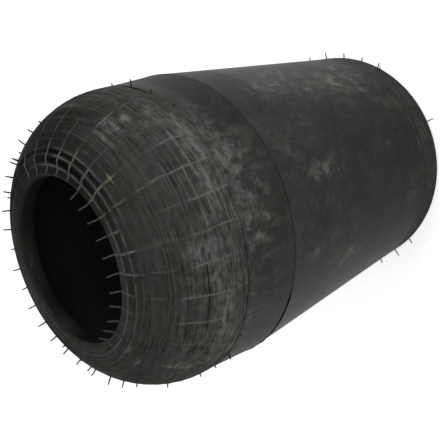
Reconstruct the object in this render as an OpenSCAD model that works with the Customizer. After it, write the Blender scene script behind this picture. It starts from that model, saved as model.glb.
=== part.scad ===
// Air spring bellows: a bare rubber sleeve of the rolling-lobe kind, standing on its large end.
// Two cord plies run between a rubber liner and a rubber cover, and turn up round a ring of
// steel wires at each end. Every layer is a closed section turned about the Z axis.

/* [Sleeve] */
// Height of the free sleeve, from the large end's face to the small end's face
height = 382; // [350:1:440]
// Diameter at the belt, the widest parting line of the mould
belt_d = 254; // [246:1:266]
// Distance of the belt below the small end's face
belt_drop = 118; // [100:1:140]
// Diameter at the parting line where the shoulder starts
shoulder_d = 245.6; // [238:0.2:252]
// Radius of the shoulder's curve
shoulder_curve_r = 73; // [68:1:80]
// Straight stretch between the shoulder's parting line and its curve
shoulder_gap = 2.5; // [1:0.5:8]
// Diameter at the parting line near the large end
foot_d = 238.2; // [230:0.2:248]
// Height of that parting line above the large end's face
foot_line_h = 25; // [20:1:30]
// Radius of the large end's outer corner
foot_corner_r = 12; // [9:0.5:14]

/* [Wall] */
// Thickness of the outer rubber cover
cover_t = 2; // [1.6:0.1:2.6]
// Thickness of one rubberised cord ply
ply_t = 1; // [0.7:0.1:1.3]
// Thickness of the inner rubber liner
liner_t = 1.3; // [0.8:0.1:2]
// Height of the raised line that each mould joint leaves
flash_h = 0.5; // [0.2:0.1:1]
// Width of that line at its foot
flash_w = 1.2; // [0.6:0.1:2]

/* [Bead seats] */
// Diameter of the small end's bore, which seats on the piston
small_bore_d = 132.6; // [124:0.2:142]
// Width of the flat face round the small bore
small_face_w = 13.7; // [12.5:0.1:17]
// Width of the large bead, from its bore to the foot's outside
large_bead_w = 19.1; // [18.5:0.1:24]
// Length of the bore wall that seats, from the end face
seat_l = 14; // [11:0.5:18]
// Radius of the bore's rounded edge
lip_r = 3; // [1.5:0.1:3.4]
// Thickness of the chafer strip on the bore wall
chafer_t = 2.2; // [1.6:0.1:3]
// Rubber between the small end's face and its turned plies
small_crown_t = 3.2; // [2.4:0.1:4.2]
// Rubber between the large end's face and its turned plies
large_crown_t = 4.2; // [3.6:0.1:5.2]

/* [Bead cores] */
// Diameter of one steel bead wire
wire_d = 1.4; // [1:0.1:1.5]
// Rubber between neighbouring wires
wire_gap = 0.15; // [0.1:0.05:0.3]
// Wires in each row and in each column of a core
wire_rows = 4; // [3:1:4]
// Rubber between the outermost wires and the fabric wrap
insulation_t = 0.25; // [0.2:0.05:0.4]
// Thickness of the fabric wrap round a core
wrap_t = 0.6; // [0.4:0.1:0.8]
// Cut across each corner of the core's section
core_chamfer = 0.5; // [0.3:0.1:0.6]

/* [Fillers and turn-ups] */
// Length along the shoulder's curve, from the small face's edge to the small filler's tip
small_tip_l = 23.65; // [20:0.05:27]
// Height of the large filler's tip
large_tip_h = 36; // [32:1:42]
// Length of the inner ply's turned end past the filler's tip
short_turnup_l = 6; // [3:0.5:8]
// Length of the outer ply's turned end past the filler's tip
long_turnup_l = 11; // [9:0.5:14]
// Length over which the wall thins to its plain thickness
taper_l = 10; // [6:0.5:14]

/* [Hidden] */
$fn = 96;

RUBBER = "#2f302d";
GUM = "#403f3a";
CORD = "#8a8468";
CANVAS = "#a89f80";
STEEL = "#b9bcc0";

// The end that a bead belongs to, with v measured from that end's face into the sleeve
SMALL = 0;
LARGE = 1;
// Angle between neighbouring points on a large curve and on a corner
curve_step = 4;
corner_step = 15;

belt_z = height - belt_drop;
foot_outer_r = foot_d / 2;
large_bore_r = foot_outer_r - large_bead_w;
small_bore_r = small_bore_d / 2;
face_r = small_bore_r + small_face_w;

// The shoulder's curve is upright at the shoulder line and ends at the small end's flat face
curve_cx = shoulder_d / 2 - shoulder_curve_r;
curve_cz = height - sqrt(pow(shoulder_curve_r, 2) - pow(face_r - curve_cx, 2));
curve_end_a = acos((face_r - curve_cx) / shoulder_curve_r);
shoulder_z = curve_cz - shoulder_gap;

// The angle that a length along that curve spans, and the angle at which the small filler's tip lies
function curve_span(l) = l * 180 / (PI * shoulder_curve_r);
small_tip_a = curve_end_a - curve_span(small_tip_l);

core_half = (wire_rows * wire_d + (wire_rows - 1) * wire_gap) / 2 + insulation_t;
wrap_half = core_half + wrap_t;
turned_t = 2 * ply_t;
lined_t = turned_t + liner_t;

// Bore radius, crown and the side of the core that faces the wall, for one end
function bore_r(end) = end == SMALL ? small_bore_r : large_bore_r;
function crown_t(end) = end == SMALL ? small_crown_t : large_crown_t;
function wall_side(end) = end == SMALL ? 0 : 1;
function core_centre(end) = [bore_r(end) + chafer_t, crown_t(end)] + (turned_t + wrap_half) * [1, 1];

// From an end's own radius and depth to radius and height
function place(end, p) = end == SMALL ? [p.x, height - p.y] : p;

// A point under the shoulder's curve, at an angle and a depth
function on_curve(a, depth) = [curve_cx, curve_cz] + (shoulder_curve_r - depth) * [cos(a), sin(a)];

// A point in the body's wall, at a height and a depth
function body_r(z) = foot_outer_r + (belt_d / 2 - foot_outer_r) * (z - foot_line_h) / (belt_z - foot_line_h);
function on_body(z, depth) = [body_r(z) - depth, z];

// A point in the wall at a distance past the filler's tip of one end, and at a depth
function past_tip(end, l, depth) = end == SMALL
    ? on_curve(small_tip_a - curve_span(l), depth)
    : on_body(large_tip_h + l, depth);

function tip(end) = place(end, past_tip(end, 0, cover_t + turned_t));
function reversed(list) = [for (i = [len(list) - 1:-1:0]) list[i]];

// An arc of points round a centre, from one angle to another
function arc(centre, r, from_a, to_a, step) =
    let (n = max(1, ceil(abs(to_a - from_a) / step)))
    [for (i = [0:n]) let (a = from_a + (to_a - from_a) * i / n) centre + r * [cos(a), sin(a)]];

// Corners of the core's eight-sided section, side 0 away from the axis and side 1 away from the end face
function core_corner(end, half, i) =
    let (k = half - core_chamfer, q = floor(i / 2) * 90, p = i % 2 == 0 ? [half, -k] : [half, k])
    core_centre(end) + [p.x * cos(q) - p.y * sin(q), p.x * sin(q) + p.y * cos(q)];

// A closed list of points, each moved outwards so that every side moves by d
function grown(points, d) =
    let (n = len(points))
    [for (i = [0:n - 1])
        let (
            a = points[(i + n - 1) % n], b = points[i], c = points[(i + 1) % n],
            na = [b.y - a.y, a.x - b.x] / norm(b - a),
            nc = [c.y - b.y, b.x - c.x] / norm(c - b))
        b + d * (na + nc) / (1 + na * nc)];

// The core and its filler as one outline, from the filler's tip past the chamber side to the outside
function bead_outline(end) = concat([tip(end)],
    [for (i = [0:5]) core_corner(end, wrap_half, (2 * wall_side(end) + 2 + i) % 8)]);

// The path round a bead at a distance from that outline, without the tip, and one corner of it
function round_bead(end, d) =
    let (points = grown(bead_outline(end), d))
    [for (i = [1:6]) place(end, points[i])];
function corner_index(end, i) = i - 2 * wall_side(end) - 2;
END_FACE_CORNER = 6;
function chamber_corner(end) = end == SMALL ? 3 : 4;

// The plies' faces, counted inwards from 0, run deeper beside the turned ends
function deep(face) = cover_t + turned_t + face * ply_t;
function plain(face) = cover_t + face * ply_t;

// One face of the wall, from the large filler's tip to the small one's, at the two depths
function wall_face(deep_t, plain_t) =
    let (taper_a = small_tip_a - curve_span(long_turnup_l + taper_l))
    concat(
        [past_tip(LARGE, 0, deep_t), past_tip(LARGE, long_turnup_l, deep_t),
            past_tip(LARGE, long_turnup_l + taper_l, plain_t),
            [belt_d / 2 - plain_t, belt_z], [shoulder_d / 2 - plain_t, shoulder_z]],
        arc([curve_cx, curve_cz], shoulder_curve_r - plain_t, 0, taper_a, curve_step),
        [past_tip(SMALL, long_turnup_l, deep_t), past_tip(SMALL, short_turnup_l, deep_t),
            past_tip(SMALL, 0, deep_t)]);

function ply_face(face) = wall_face(deep(face), plain(face));

// The outer faces of the turned ends, as the cover and the plies meet them, away from the tip
function long_end(end) = [past_tip(end, 0, cover_t + ply_t), past_tip(end, short_turnup_l, cover_t + ply_t),
    past_tip(end, long_turnup_l, cover_t + ply_t)];
function short_end(end) = [past_tip(end, 0, cover_t), past_tip(end, short_turnup_l, cover_t)];

// Three points of a raised mould line on an upright wall
function flash_line(r, z) = [[r, z - flash_w / 2], [r + flash_h, z], [r, z + flash_w / 2]];

module turned(points) {
    rotate_extrude() polygon(points);
}

// The cover: mould surface outside, turned plies inside, and both end faces up to the chafers
module outer_cover() {
    foot_corner_c = [foot_outer_r - foot_corner_r, foot_corner_r];
    outside = concat(
        [[round_bead(LARGE, turned_t)[corner_index(LARGE, END_FACE_CORNER)].x, 0]],
        arc(foot_corner_c, foot_corner_r, -90, 0, corner_step),
        flash_line(foot_outer_r, foot_line_h),
        flash_line(belt_d / 2, belt_z),
        flash_line(shoulder_d / 2, shoulder_z),
        arc([curve_cx, curve_cz], shoulder_curve_r, 0, curve_end_a, curve_step),
        [[round_bead(SMALL, turned_t)[corner_index(SMALL, END_FACE_CORNER)].x, height]]);
    small_inside = [for (i = [corner_index(SMALL, END_FACE_CORNER):5]) round_bead(SMALL, turned_t)[i]];
    large_inside = [for (i = [corner_index(LARGE, END_FACE_CORNER):5]) round_bead(LARGE, turned_t)[i]];
    face = ply_face(0);
    color(RUBBER) turned(concat(
        outside,
        small_inside, short_end(SMALL), [long_end(SMALL)[1], long_end(SMALL)[2]],
        [for (i = [len(face) - 3:-1:1]) face[i]],
        reversed([long_end(LARGE)[1], long_end(LARGE)[2]]), reversed(short_end(LARGE)),
        reversed(large_inside)));
}

// The outer ply lies next to both cores, and its turned ends lie back on itself past the fillers
module outer_cord_ply() {
    color(CORD) rotate_extrude() difference() {
        polygon(concat(
            ply_face(1), round_bead(SMALL, ply_t), long_end(SMALL),
            reversed([for (i = [1:len(ply_face(0)) - 3]) ply_face(0)[i]]),
            reversed(long_end(LARGE)), reversed(round_bead(LARGE, ply_t))));
        for (end = [SMALL, LARGE])
            polygon([for (p = bead_outline(end)) place(end, p)]);
    }
}

// The inner ply wraps the outer one, and its turned ends stop short of the outer one's
module inner_cord_ply() {
    small_turn = concat(round_bead(SMALL, turned_t), short_end(SMALL),
        [long_end(SMALL)[1], long_end(SMALL)[0]], reversed(round_bead(SMALL, ply_t)));
    large_turn = concat(round_bead(LARGE, ply_t), [long_end(LARGE)[0], long_end(LARGE)[1]],
        reversed(short_end(LARGE)), reversed(round_bead(LARGE, turned_t)));
    color(CORD) turned(concat(ply_face(2), small_turn, reversed(ply_face(1)), large_turn));
}

// The liner seals the chamber and ends against the chafers, at the chamber side of each bead
module inner_liner() {
    small_last = corner_index(SMALL, chamber_corner(SMALL));
    large_last = corner_index(LARGE, chamber_corner(LARGE));
    small_end = concat([for (i = [0:small_last]) round_bead(SMALL, lined_t)[i]],
        [for (i = [small_last:-1:0]) round_bead(SMALL, turned_t)[i]]);
    large_end = concat([for (i = [0:large_last]) round_bead(LARGE, turned_t)[i]],
        [for (i = [large_last:-1:0]) round_bead(LARGE, lined_t)[i]]);
    color(GUM) turned(concat(
        wall_face(deep(2) + liner_t, plain(2) + liner_t), small_end,
        reversed(ply_face(2)), large_end));
}

// The sections of one core's wires, in rows and columns that the rubber holds apart
module wire_sections(end) {
    pitch = wire_d + wire_gap;
    first = -(wire_rows - 1) / 2;
    for (i = [0:wire_rows - 1], j = [0:wire_rows - 1])
        translate(place(end, core_centre(end) + pitch * [first + i, first + j]))
            circle(d = wire_d, $fn = 32);
}

module core_section(end, half) {
    polygon([for (i = [0:7]) place(end, core_corner(end, half, i))]);
}

// The wires of one core, each a separate ring
module bead_wires(end) {
    color(STEEL) rotate_extrude() wire_sections(end);
}

// The rubber that holds the wires apart
module bead_insulation(end) {
    color(GUM) rotate_extrude() difference() {
        core_section(end, core_half);
        wire_sections(end);
    }
}

// The fabric tape wound round a core
module bead_wrap(end) {
    color(CANVAS) rotate_extrude() difference() {
        core_section(end, wrap_half);
        core_section(end, core_half);
    }
}

// The rubber wedge that fills the gap between a core and the meeting plies
module bead_filler(end) {
    side = 2 * wall_side(end);
    points = concat(
        [for (i = [side + 7, side, side + 1, side + 2]) core_corner(end, wrap_half, i % 8)],
        [tip(end)]);
    color(GUM) turned([for (p = points) place(end, p)]);
}

// The wear strip on the bore wall, from the end face to the liner, with a rounded lip
module bead_chafer(end) {
    outer = [for (i = [corner_index(end, END_FACE_CORNER):-1:corner_index(end, chamber_corner(end))])
        round_bead(end, turned_t)[i]];
    liner_edge = round_bead(end, lined_t)[corner_index(end, chamber_corner(end))];
    lip = arc([bore_r(end) + lip_r, lip_r], lip_r, 180, 270, corner_step);
    color(RUBBER) turned(concat(
        [[outer[0].x, place(end, [0, 0]).y]], outer, [liner_edge],
        [place(end, [bore_r(end), seat_l])], [for (p = lip) place(end, p)]));
}

module small_bead_wires() { bead_wires(SMALL); }
module small_bead_insulation() { bead_insulation(SMALL); }
module small_bead_wrap() { bead_wrap(SMALL); }
module small_bead_filler() { bead_filler(SMALL); }
module small_bead_chafer() { bead_chafer(SMALL); }
module large_bead_wires() { bead_wires(LARGE); }
module large_bead_insulation() { bead_insulation(LARGE); }
module large_bead_wrap() { bead_wrap(LARGE); }
module large_bead_filler() { bead_filler(LARGE); }
module large_bead_chafer() { bead_chafer(LARGE); }

outer_cover();
outer_cord_ply();
inner_cord_ply();
inner_liner();
small_bead_wires();
small_bead_insulation();
small_bead_wrap();
small_bead_filler();
small_bead_chafer();
large_bead_wires();
large_bead_insulation();
large_bead_wrap();
large_bead_filler();
large_bead_chafer();
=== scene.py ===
# %% [markdown]
# # An air spring bellows, dressed around its solid model
# The part is a bare rubber sleeve: two cord plies between a liner and a cover, turned up round a
# ring of steel wires at each end. The solids give its sizes. This lesson gives it the skin that
# came out of the mould, with raised vent lines, hairs of rubber and smears of talc.
# Every new piece is a closed section carried round the Z axis, worked out with numpy.

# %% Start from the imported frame
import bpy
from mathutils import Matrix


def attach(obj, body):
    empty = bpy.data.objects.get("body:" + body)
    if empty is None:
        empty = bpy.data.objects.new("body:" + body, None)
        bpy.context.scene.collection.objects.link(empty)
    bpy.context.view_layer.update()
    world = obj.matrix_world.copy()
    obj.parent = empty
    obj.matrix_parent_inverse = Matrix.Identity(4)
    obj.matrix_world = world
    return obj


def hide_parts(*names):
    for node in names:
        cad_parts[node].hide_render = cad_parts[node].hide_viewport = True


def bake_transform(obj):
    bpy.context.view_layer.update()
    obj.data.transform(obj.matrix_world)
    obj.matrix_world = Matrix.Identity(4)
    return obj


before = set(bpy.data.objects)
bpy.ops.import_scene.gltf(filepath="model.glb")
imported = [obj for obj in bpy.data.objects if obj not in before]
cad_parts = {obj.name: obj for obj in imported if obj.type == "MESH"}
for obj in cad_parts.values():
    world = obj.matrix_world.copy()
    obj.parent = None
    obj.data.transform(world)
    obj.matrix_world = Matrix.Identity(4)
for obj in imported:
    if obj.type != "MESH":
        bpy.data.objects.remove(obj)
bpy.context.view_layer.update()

# %% [markdown]
# ## The camera
# The sleeve stands on its large end, but the photograph shows it lying down, small end first.
# Turning the object would take it out of its frame, so the camera is rolled instead: the three
# columns below are its own right, up and back directions in the part's frame.
# The lens follows from the perspective of the two end circles.

# %% Camera, rolled so that the sleeve's axis runs across the picture
import bpy
import numpy as np
from mathutils import Matrix, Vector

CAMERA_PLACE = (0.0, -0.41488, 0.59865)
CAMERA_RIGHT = (-0.34341, -0.63994, -0.68743)
CAMERA_UP = (0.93893, -0.21684, -0.26718)
CAMERA_BACK = (0.02191, -0.73720, 0.67532)
SENSOR_WIDTH = 36.0
FOCAL_PIXELS, PICTURE_PIXELS = 600, 440

scene = bpy.context.scene
camera_data = bpy.data.cameras.new("camera")
camera_data.sensor_width = SENSOR_WIDTH
camera_data.lens = SENSOR_WIDTH * FOCAL_PIXELS / PICTURE_PIXELS
camera = bpy.data.objects.new("camera", camera_data)
axes = Matrix((CAMERA_RIGHT, CAMERA_UP, CAMERA_BACK)).transposed()
camera.matrix_world = Matrix.Translation(CAMERA_PLACE) @ axes.to_4x4()
scene.collection.objects.link(camera)
scene.camera = camera
print(f"camera: {camera_data.lens:.1f} mm lens")

# %% [markdown]
# ## Shader nodes by plain words
# Every finish here, and the white tent too, is a small graph of shader nodes. Blender's names for
# them are long and their sockets are numbered, so one table gives each kind a plain word, and one
# function adds a node by its word. A finish then reads like a recipe.

# %% Words for nodes, and the function that adds one
# The shader nodes of this lesson, each under a plain word: Blender's kind, the inputs that are filled
# in order, the output that is passed on (all of them where it is None), and the settings. Results
# of arithmetic are kept between 0 and 1, apart from a free node's.
KEPT = {"use_clamp": True}
NODES = {
    "rays": ("LightPath", (), None, {}),
    "background": ("Background", (0, 1), 0, {}),
    "glow": ("Emission", (0, 1), 0, {}),
    "shader sum": ("AddShader", (0, 1), 0, {}),
    "shader mix": ("MixShader", (0, 1, 2), 0, {}),
    "times": ("Math", (0, 1), 0, {"operation": "MULTIPLY", **KEPT}),
    "plus": ("Math", (0, 1), 0, {"operation": "ADD", **KEPT}),
    "less": ("Math", (0, 1), 0, {"operation": "SUBTRACT", **KEPT}),
    "times plus": ("Math", (0, 1, 2), 0, {"operation": "MULTIPLY_ADD", **KEPT}),
    "larger": ("Math", (0, 1), 0, {"operation": "MAXIMUM", **KEPT}),
    "free times": ("Math", (0, 1), 0, {"operation": "MULTIPLY"}),
    "free less": ("Math", (0, 1), 0, {"operation": "SUBTRACT"}),
    "free times plus": ("Math", (0, 1, 2), 0, {"operation": "MULTIPLY_ADD"}),
    "free size": ("Math", (0,), 0, {"operation": "ABSOLUTE"}),
    "free sine": ("Math", (0,), 0, {"operation": "SINE"}),
    "free angle": ("Math", (0, 1), 0, {"operation": "ARCTAN2"}),
    "ramp": ("MapRange", (0, 1, 2, 3, 4), 0, {}),
    "mix": ("Mix", (0, 2, 3), 0, {}),
    "colour mix": ("Mix", (0, 6, 7), 2, {"data_type": "RGBA"}),
    "noise": ("TexNoise", ("Vector", "Scale", "Detail", "Roughness", "Distortion"), 0, {}),
    "scaled": ("VectorMath", (0, 1), 0, {"operation": "MULTIPLY"}),
    "dot product": ("VectorMath", (0, 1), "Value", {"operation": "DOT_PRODUCT"}),
    "distance": ("VectorMath", (0, 1), "Value", {"operation": "DISTANCE"}),
    "three parts": ("SeparateXYZ", (0,), None, {}),
    "attribute": ("Attribute", (), "Vector", {}),
    "object place": ("TexCoord", (), "Object", {}),
    "bump": ("Bump", ("Height", "Distance", "Strength"), "Normal", {}),
}


def fill(node, inputs):
    """Sets each input of a node to its value, or links it to the output that it comes from."""
    for socket, value in inputs.items():
        if isinstance(value, bpy.types.NodeSocket):
            node.id_data.links.new(value, node.inputs[socket])
        else:
            node.inputs[socket].default_value = value


def add_node(tree, word, *inputs, **settings):
    """Adds the shader node of this word, its inputs in order, and passes on its output."""
    kind, sockets, output, usual = NODES[word]
    node = tree.nodes.new("ShaderNode" + kind)
    for key, value in {**usual, **settings}.items():
        setattr(node, key, value)
    fill(node, dict(zip(sockets, inputs)))
    return node.outputs if output is None else node.outputs[output]


print("words for shader nodes:", len(NODES))

# %% [markdown]
# ## Light and floor
# A studio for small goods is a white tent: light comes from all round, a little stronger from one
# side. A black glossy piece is drawn by what it mirrors, so large soft boxes stand on both sides
# of the sleeve's axis and the world is a dim white. Camera rays alone see the world and the floor
# at full white, so that the background is white while the rubber isn't flooded.

# %% World and soft boxes
WORLD_STRENGTH = 0.42
FLOOR_HALF = 5.0
FLOOR_GLOW = 0.55
WHITE, PAPER_WHITE = (1, 1, 1, 1), (0.8, 0.8, 0.8, 1)
PAPER_ROUGHNESS = 0.9
AIM = (0.0, 0.0, 0.2)
# Name, place and side length in metres, and the light it throws on the part, where 1 shows a
# colour as it is written
SOFT_BOXES = (
    ("key_box", (1.25, -0.55, 0.75), 1.1, 0.62),
    ("low_box", (-1.2, -0.45, 0.35), 0.9, 0.30),
    ("front_box", (0.1, -1.3, 1.1), 1.0, 0.22),
    ("back_box", (0.2, 1.5, 0.9), 1.2, 0.10),
)


def white_to_the_eye(tree, plain, seen):
    """Mixes a plain shader with the one that camera, mirror and clear rays see."""
    ray = add_node(tree, "rays")
    sharp = add_node(tree, "larger", ray["Is Glossy Ray"], ray["Is Transmission Ray"])
    eye = add_node(tree, "larger", ray["Is Camera Ray"], sharp)
    return add_node(tree, "shader mix", eye, plain, seen)


world = bpy.data.worlds.new("white_tent")
world.use_nodes = True
scene.world = world
scene.view_settings.view_transform = "Standard"
tree = world.node_tree
dim = tree.nodes["Background"]
fill(dim, {"Color": WHITE, "Strength": WORLD_STRENGTH})
bright = add_node(tree, "background", WHITE, 1.0)
fill(tree.nodes["World Output"], {"Surface": white_to_the_eye(tree, dim.outputs[0], bright)})

for name, place, side, level in SOFT_BOXES:
    light = bpy.data.lights.new(name, "AREA")
    light.size = side
    away = Vector(place) - Vector(AIM)
    # What reaches the part falls off with the distance squared, so the power makes up for it
    light.energy = level * np.pi ** 2 * away.length_squared
    box = bpy.data.objects.new(name, light)
    box.location = place
    box.rotation_euler = away.to_track_quat("Z", "Y").to_euler()
    scene.collection.objects.link(box)
print("soft boxes:", len(SOFT_BOXES))

# %% The floor
floor_mesh = bpy.data.meshes.new("floor")
h = FLOOR_HALF
floor_mesh.from_pydata([(-h, -h, 0), (h, -h, 0), (h, h, 0), (-h, h, 0)], [], [(0, 1, 2, 3)])
floor = bpy.data.objects.new("floor", floor_mesh)
scene.collection.objects.link(floor)
# Matt paper, which glows a little for the camera alone so that it reads as white
paper = bpy.data.materials.new("white_paper_sweep")
paper.use_nodes = True
tree = paper.node_tree
sheet = tree.nodes["Principled BSDF"]
fill(sheet, {"Base Color": PAPER_WHITE, "Roughness": PAPER_ROUGHNESS})
glow = add_node(tree, "glow", WHITE, FLOOR_GLOW)
lit = add_node(tree, "shader sum", sheet.outputs[0], glow)
fill(tree.nodes["Material Output"], {"Surface": white_to_the_eye(tree, sheet.outputs[0], lit)})
floor_mesh.materials.append(paper)
print(f"floor: {2 * FLOOR_HALF:.0f} m wide")

# %% [markdown]
# ## The sleeve's outline
# The mould surface is one curve: from the small bore over its rounded lip, across the flat face,
# down the shoulder's arc, and along two straight tapers to the foot's corner and the large bore.
# Everything on the skin is placed by its length along that curve, counted in millimetres from the
# small bore, because the vent lines were scribed in the mould that way.

# %% The outline and the length along it
MM = 0.001
HEIGHT = 382.0
BELT_R, BELT_Z = 127.0, 264.0
SHOULDER_R, SHOULDER_CURVE_R, SHOULDER_GAP = 122.8, 73.0, 2.5
FOOT_R, FOOT_LINE_Z, FOOT_CORNER_R = 119.1, 25.0, 12.0
SMALL_BORE_R, FACE_R, LARGE_BORE_R, LIP_R, SEAT_L = 66.3, 80.0, 100.0, 3.0, 14.0

# The skin's slope at a point is taken over this much on either side
SLOPE_REACH = 0.4

CURVE_R = SHOULDER_R - SHOULDER_CURVE_R
CURVE_Z = HEIGHT - np.sqrt(SHOULDER_CURVE_R ** 2 - (FACE_R - CURVE_R) ** 2)
CURVE_END = np.degrees(np.arccos((FACE_R - CURVE_R) / SHOULDER_CURVE_R))
SHOULDER_Z = CURVE_Z - SHOULDER_GAP


def arc(centre, radius, start, end, step):
    """Points on a circle, centre + radius (cos a, sin a), with a from start to end in degrees."""
    count = max(1, int(np.ceil(abs(end - start) / step)))
    angle = np.radians(np.linspace(start, end, count + 1))
    return np.array(centre) + radius * np.column_stack([np.cos(angle), np.sin(angle)])


lip = arc((SMALL_BORE_R + LIP_R, HEIGHT - LIP_R), LIP_R, 180, 90, 5)
outline = np.vstack([
    lip,
    arc((CURVE_R, CURVE_Z), SHOULDER_CURVE_R, CURVE_END, 0, 0.5),
    [(SHOULDER_R, SHOULDER_Z), (BELT_R, BELT_Z), (FOOT_R, FOOT_LINE_Z)],
    arc((FOOT_R - FOOT_CORNER_R, FOOT_CORNER_R), FOOT_CORNER_R, 0, -90, 3),
    arc((LARGE_BORE_R + LIP_R, LIP_R), LIP_R, 270, 180, 5),
])
outline_s = np.append(0, np.cumsum(np.hypot(*np.diff(outline, axis=0).T)))
outline_s += FACE_R - SMALL_BORE_R - outline_s[len(lip)]


def on_outline(s):
    """Radius and height at length s: the outline's points interpolated."""
    return np.interp(s, outline_s, outline[:, 0]), np.interp(s, outline_s, outline[:, 1])


def skin(s):
    """Radius, height and outward unit normal at length s. The normal is the outline's slope, taken
    from a little before s to a little after it, and turned square."""
    r, z = on_outline(s)
    (r0, z0), (r1, z1) = on_outline(s - SLOPE_REACH), on_outline(s + SLOPE_REACH)
    length = np.hypot(r1 - r0, z1 - z0)
    return r, z, (z0 - z1) / length, (r1 - r0) / length


def s_at(r, z):
    """Length along the outline of the point nearest to radius r and height z."""
    return outline_s[np.argmin(np.hypot(outline[:, 0] - r, outline[:, 1] - z))]


CREST_S = FACE_R - SMALL_BORE_R
SHOULDER_S = s_at(SHOULDER_R, SHOULDER_Z)
BELT_S = s_at(BELT_R, BELT_Z)
FOOT_S = s_at(FOOT_R, FOOT_LINE_Z)
print(f"stations: crest {CREST_S:.1f}, shoulder {SHOULDER_S:.1f}, belt {BELT_S:.1f}, foot {FOOT_S:.1f} mm")

# %% [markdown]
# ## The layers under the skin
# Nothing below the cover shows from outside, but a sleeve that is pressed together shows whether
# its layers move as one. Every layer is drawn as a closed section, with the same depths below the
# outline as in the solid model, and holes where the bead cores lie. A section that is carried round
# the axis has no seam and no pole.

# %% Depths, and places in the wall
COVER_T, PLY_T, LINER_T, CHAFER_T = 2.0, 1.0, 1.3, 2.2
TURNED_T = 2 * PLY_T
LINED_T = TURNED_T + LINER_T
# What is given for each end comes as a pair, small end first: the bore, and how deep the plies
# pass below the end face
SMALL, LARGE = 0, 1
BORE_R = (SMALL_BORE_R, LARGE_BORE_R)
CROWN_T = (3.2, 4.2)
WRAP_HALF, CORE_CHAMFER = 3.875, 0.5
# Where the fillers end: along the shoulder's curve, and up the foot's taper
TIP_L, TIP_Z = 23.65, 36.0
SHORT_TURNUP, LONG_TURNUP, TAPER_L = 6.0, 11.0, 10.0
TIP_ANGLE = CURVE_END - np.degrees(TIP_L / SHOULDER_CURVE_R)
# Which of a rounded bead's corners lies at the end face, and which at the chamber
FACE_CORNER, CHAMBER_CORNER = (4, 2), (1, 0)


def placed(end, points):
    """From an end's own depth to height, or back: at the small end z and the depth add up to the
    sleeve's height, and at the large end they are the same."""
    points = np.asarray(points, float)
    return points * (1, -1) + (0, HEIGHT) if end == SMALL else points


def past_tip(end, length, depth):
    """A point in the wall past a filler's tip: on the shoulder's arc, or on the foot's taper."""
    if end == SMALL:
        angle = np.radians(TIP_ANGLE) - length / SHOULDER_CURVE_R
        reach = SHOULDER_CURVE_R - depth
        return CURVE_R + reach * np.cos(angle), CURVE_Z + reach * np.sin(angle)
    z = TIP_Z + length
    return FOOT_R + (BELT_R - FOOT_R) * (z - FOOT_LINE_Z) / (BELT_Z - FOOT_LINE_Z) - depth, z


print(f"below the skin: plies from {COVER_T} to {COVER_T + TURNED_T} mm, liner to {COVER_T + LINED_T} mm")

# %% The outline of a bead and the faces of the wall
def core_outline(end, half):
    """The eight corners of a bead core: a square of that half width with its corners cut off. A
    corner (x, y) turns by a quarter to (x cos a - y sin a, x sin a + y cos a)."""
    k = half - CORE_CHAMFER
    quarter = np.radians(90 * (np.arange(8) // 2))
    x, y = half, np.where(np.arange(8) % 2 == 0, -k, k)
    turned = np.column_stack([x * np.cos(quarter) - y * np.sin(quarter),
                              x * np.sin(quarter) + y * np.cos(quarter)])
    return turned + (BORE_R[end] + CHAFER_T + TURNED_T + WRAP_HALF, CROWN_T[end] + TURNED_T + WRAP_HALF)


def bead_outline(end):
    """The core and its filler as one outline: the filler's tip, then the six corners of the core
    that it doesn't cover, from the chamber side on."""
    tip = placed(end, [past_tip(end, 0, COVER_T + TURNED_T)])
    return np.vstack([tip, np.roll(core_outline(end, WRAP_HALF), -(2 * end + 2), axis=0)[:6]])


def round_bead(end, distance):
    """The outline moved out so that each side moves by the distance, without the tip.
    A corner moves by distance (n + m) / (1 + n.m), with n and m the normals of its two sides."""
    points = bead_outline(end)
    side = np.roll(points, -1, axis=0) - points
    after = np.column_stack([side[:, 1], -side[:, 0]]) / np.hypot(*side.T)[:, None]
    before = np.roll(after, 1, axis=0)
    moved = points + distance * (before + after) / (1 + (before * after).sum(1))[:, None]
    return placed(end, moved[1:])


def wall_face(deep, plain):
    """One face of the wall from the large filler's tip to the small one's: deep beside the turned
    ends and at its plain depth between them."""
    end_l = LONG_TURNUP + TAPER_L
    stop = TIP_ANGLE - np.degrees(end_l / SHOULDER_CURVE_R)
    return np.vstack([
        [past_tip(LARGE, 0, deep), past_tip(LARGE, LONG_TURNUP, deep), past_tip(LARGE, end_l, plain)],
        [(BELT_R - plain, BELT_Z), (SHOULDER_R - plain, SHOULDER_Z)],
        arc((CURVE_R, CURVE_Z), SHOULDER_CURVE_R - plain, 0, stop, 4),
        [past_tip(SMALL, length, deep) for length in (LONG_TURNUP, SHORT_TURNUP, 0)],
    ])


def ply_face(face):
    """Face 0, 1 or 2 of the two plies, counted inwards."""
    return wall_face(COVER_T + TURNED_T + face * PLY_T, COVER_T + face * PLY_T)


def turned_end(end, depth, lengths):
    """The outer face of a turned-up end, at these lengths past the filler's tip."""
    return np.array([past_tip(end, length, depth) for length in lengths])


print("corners of a bead without its filler's tip:", len(round_bead(SMALL, PLY_T)))

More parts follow.
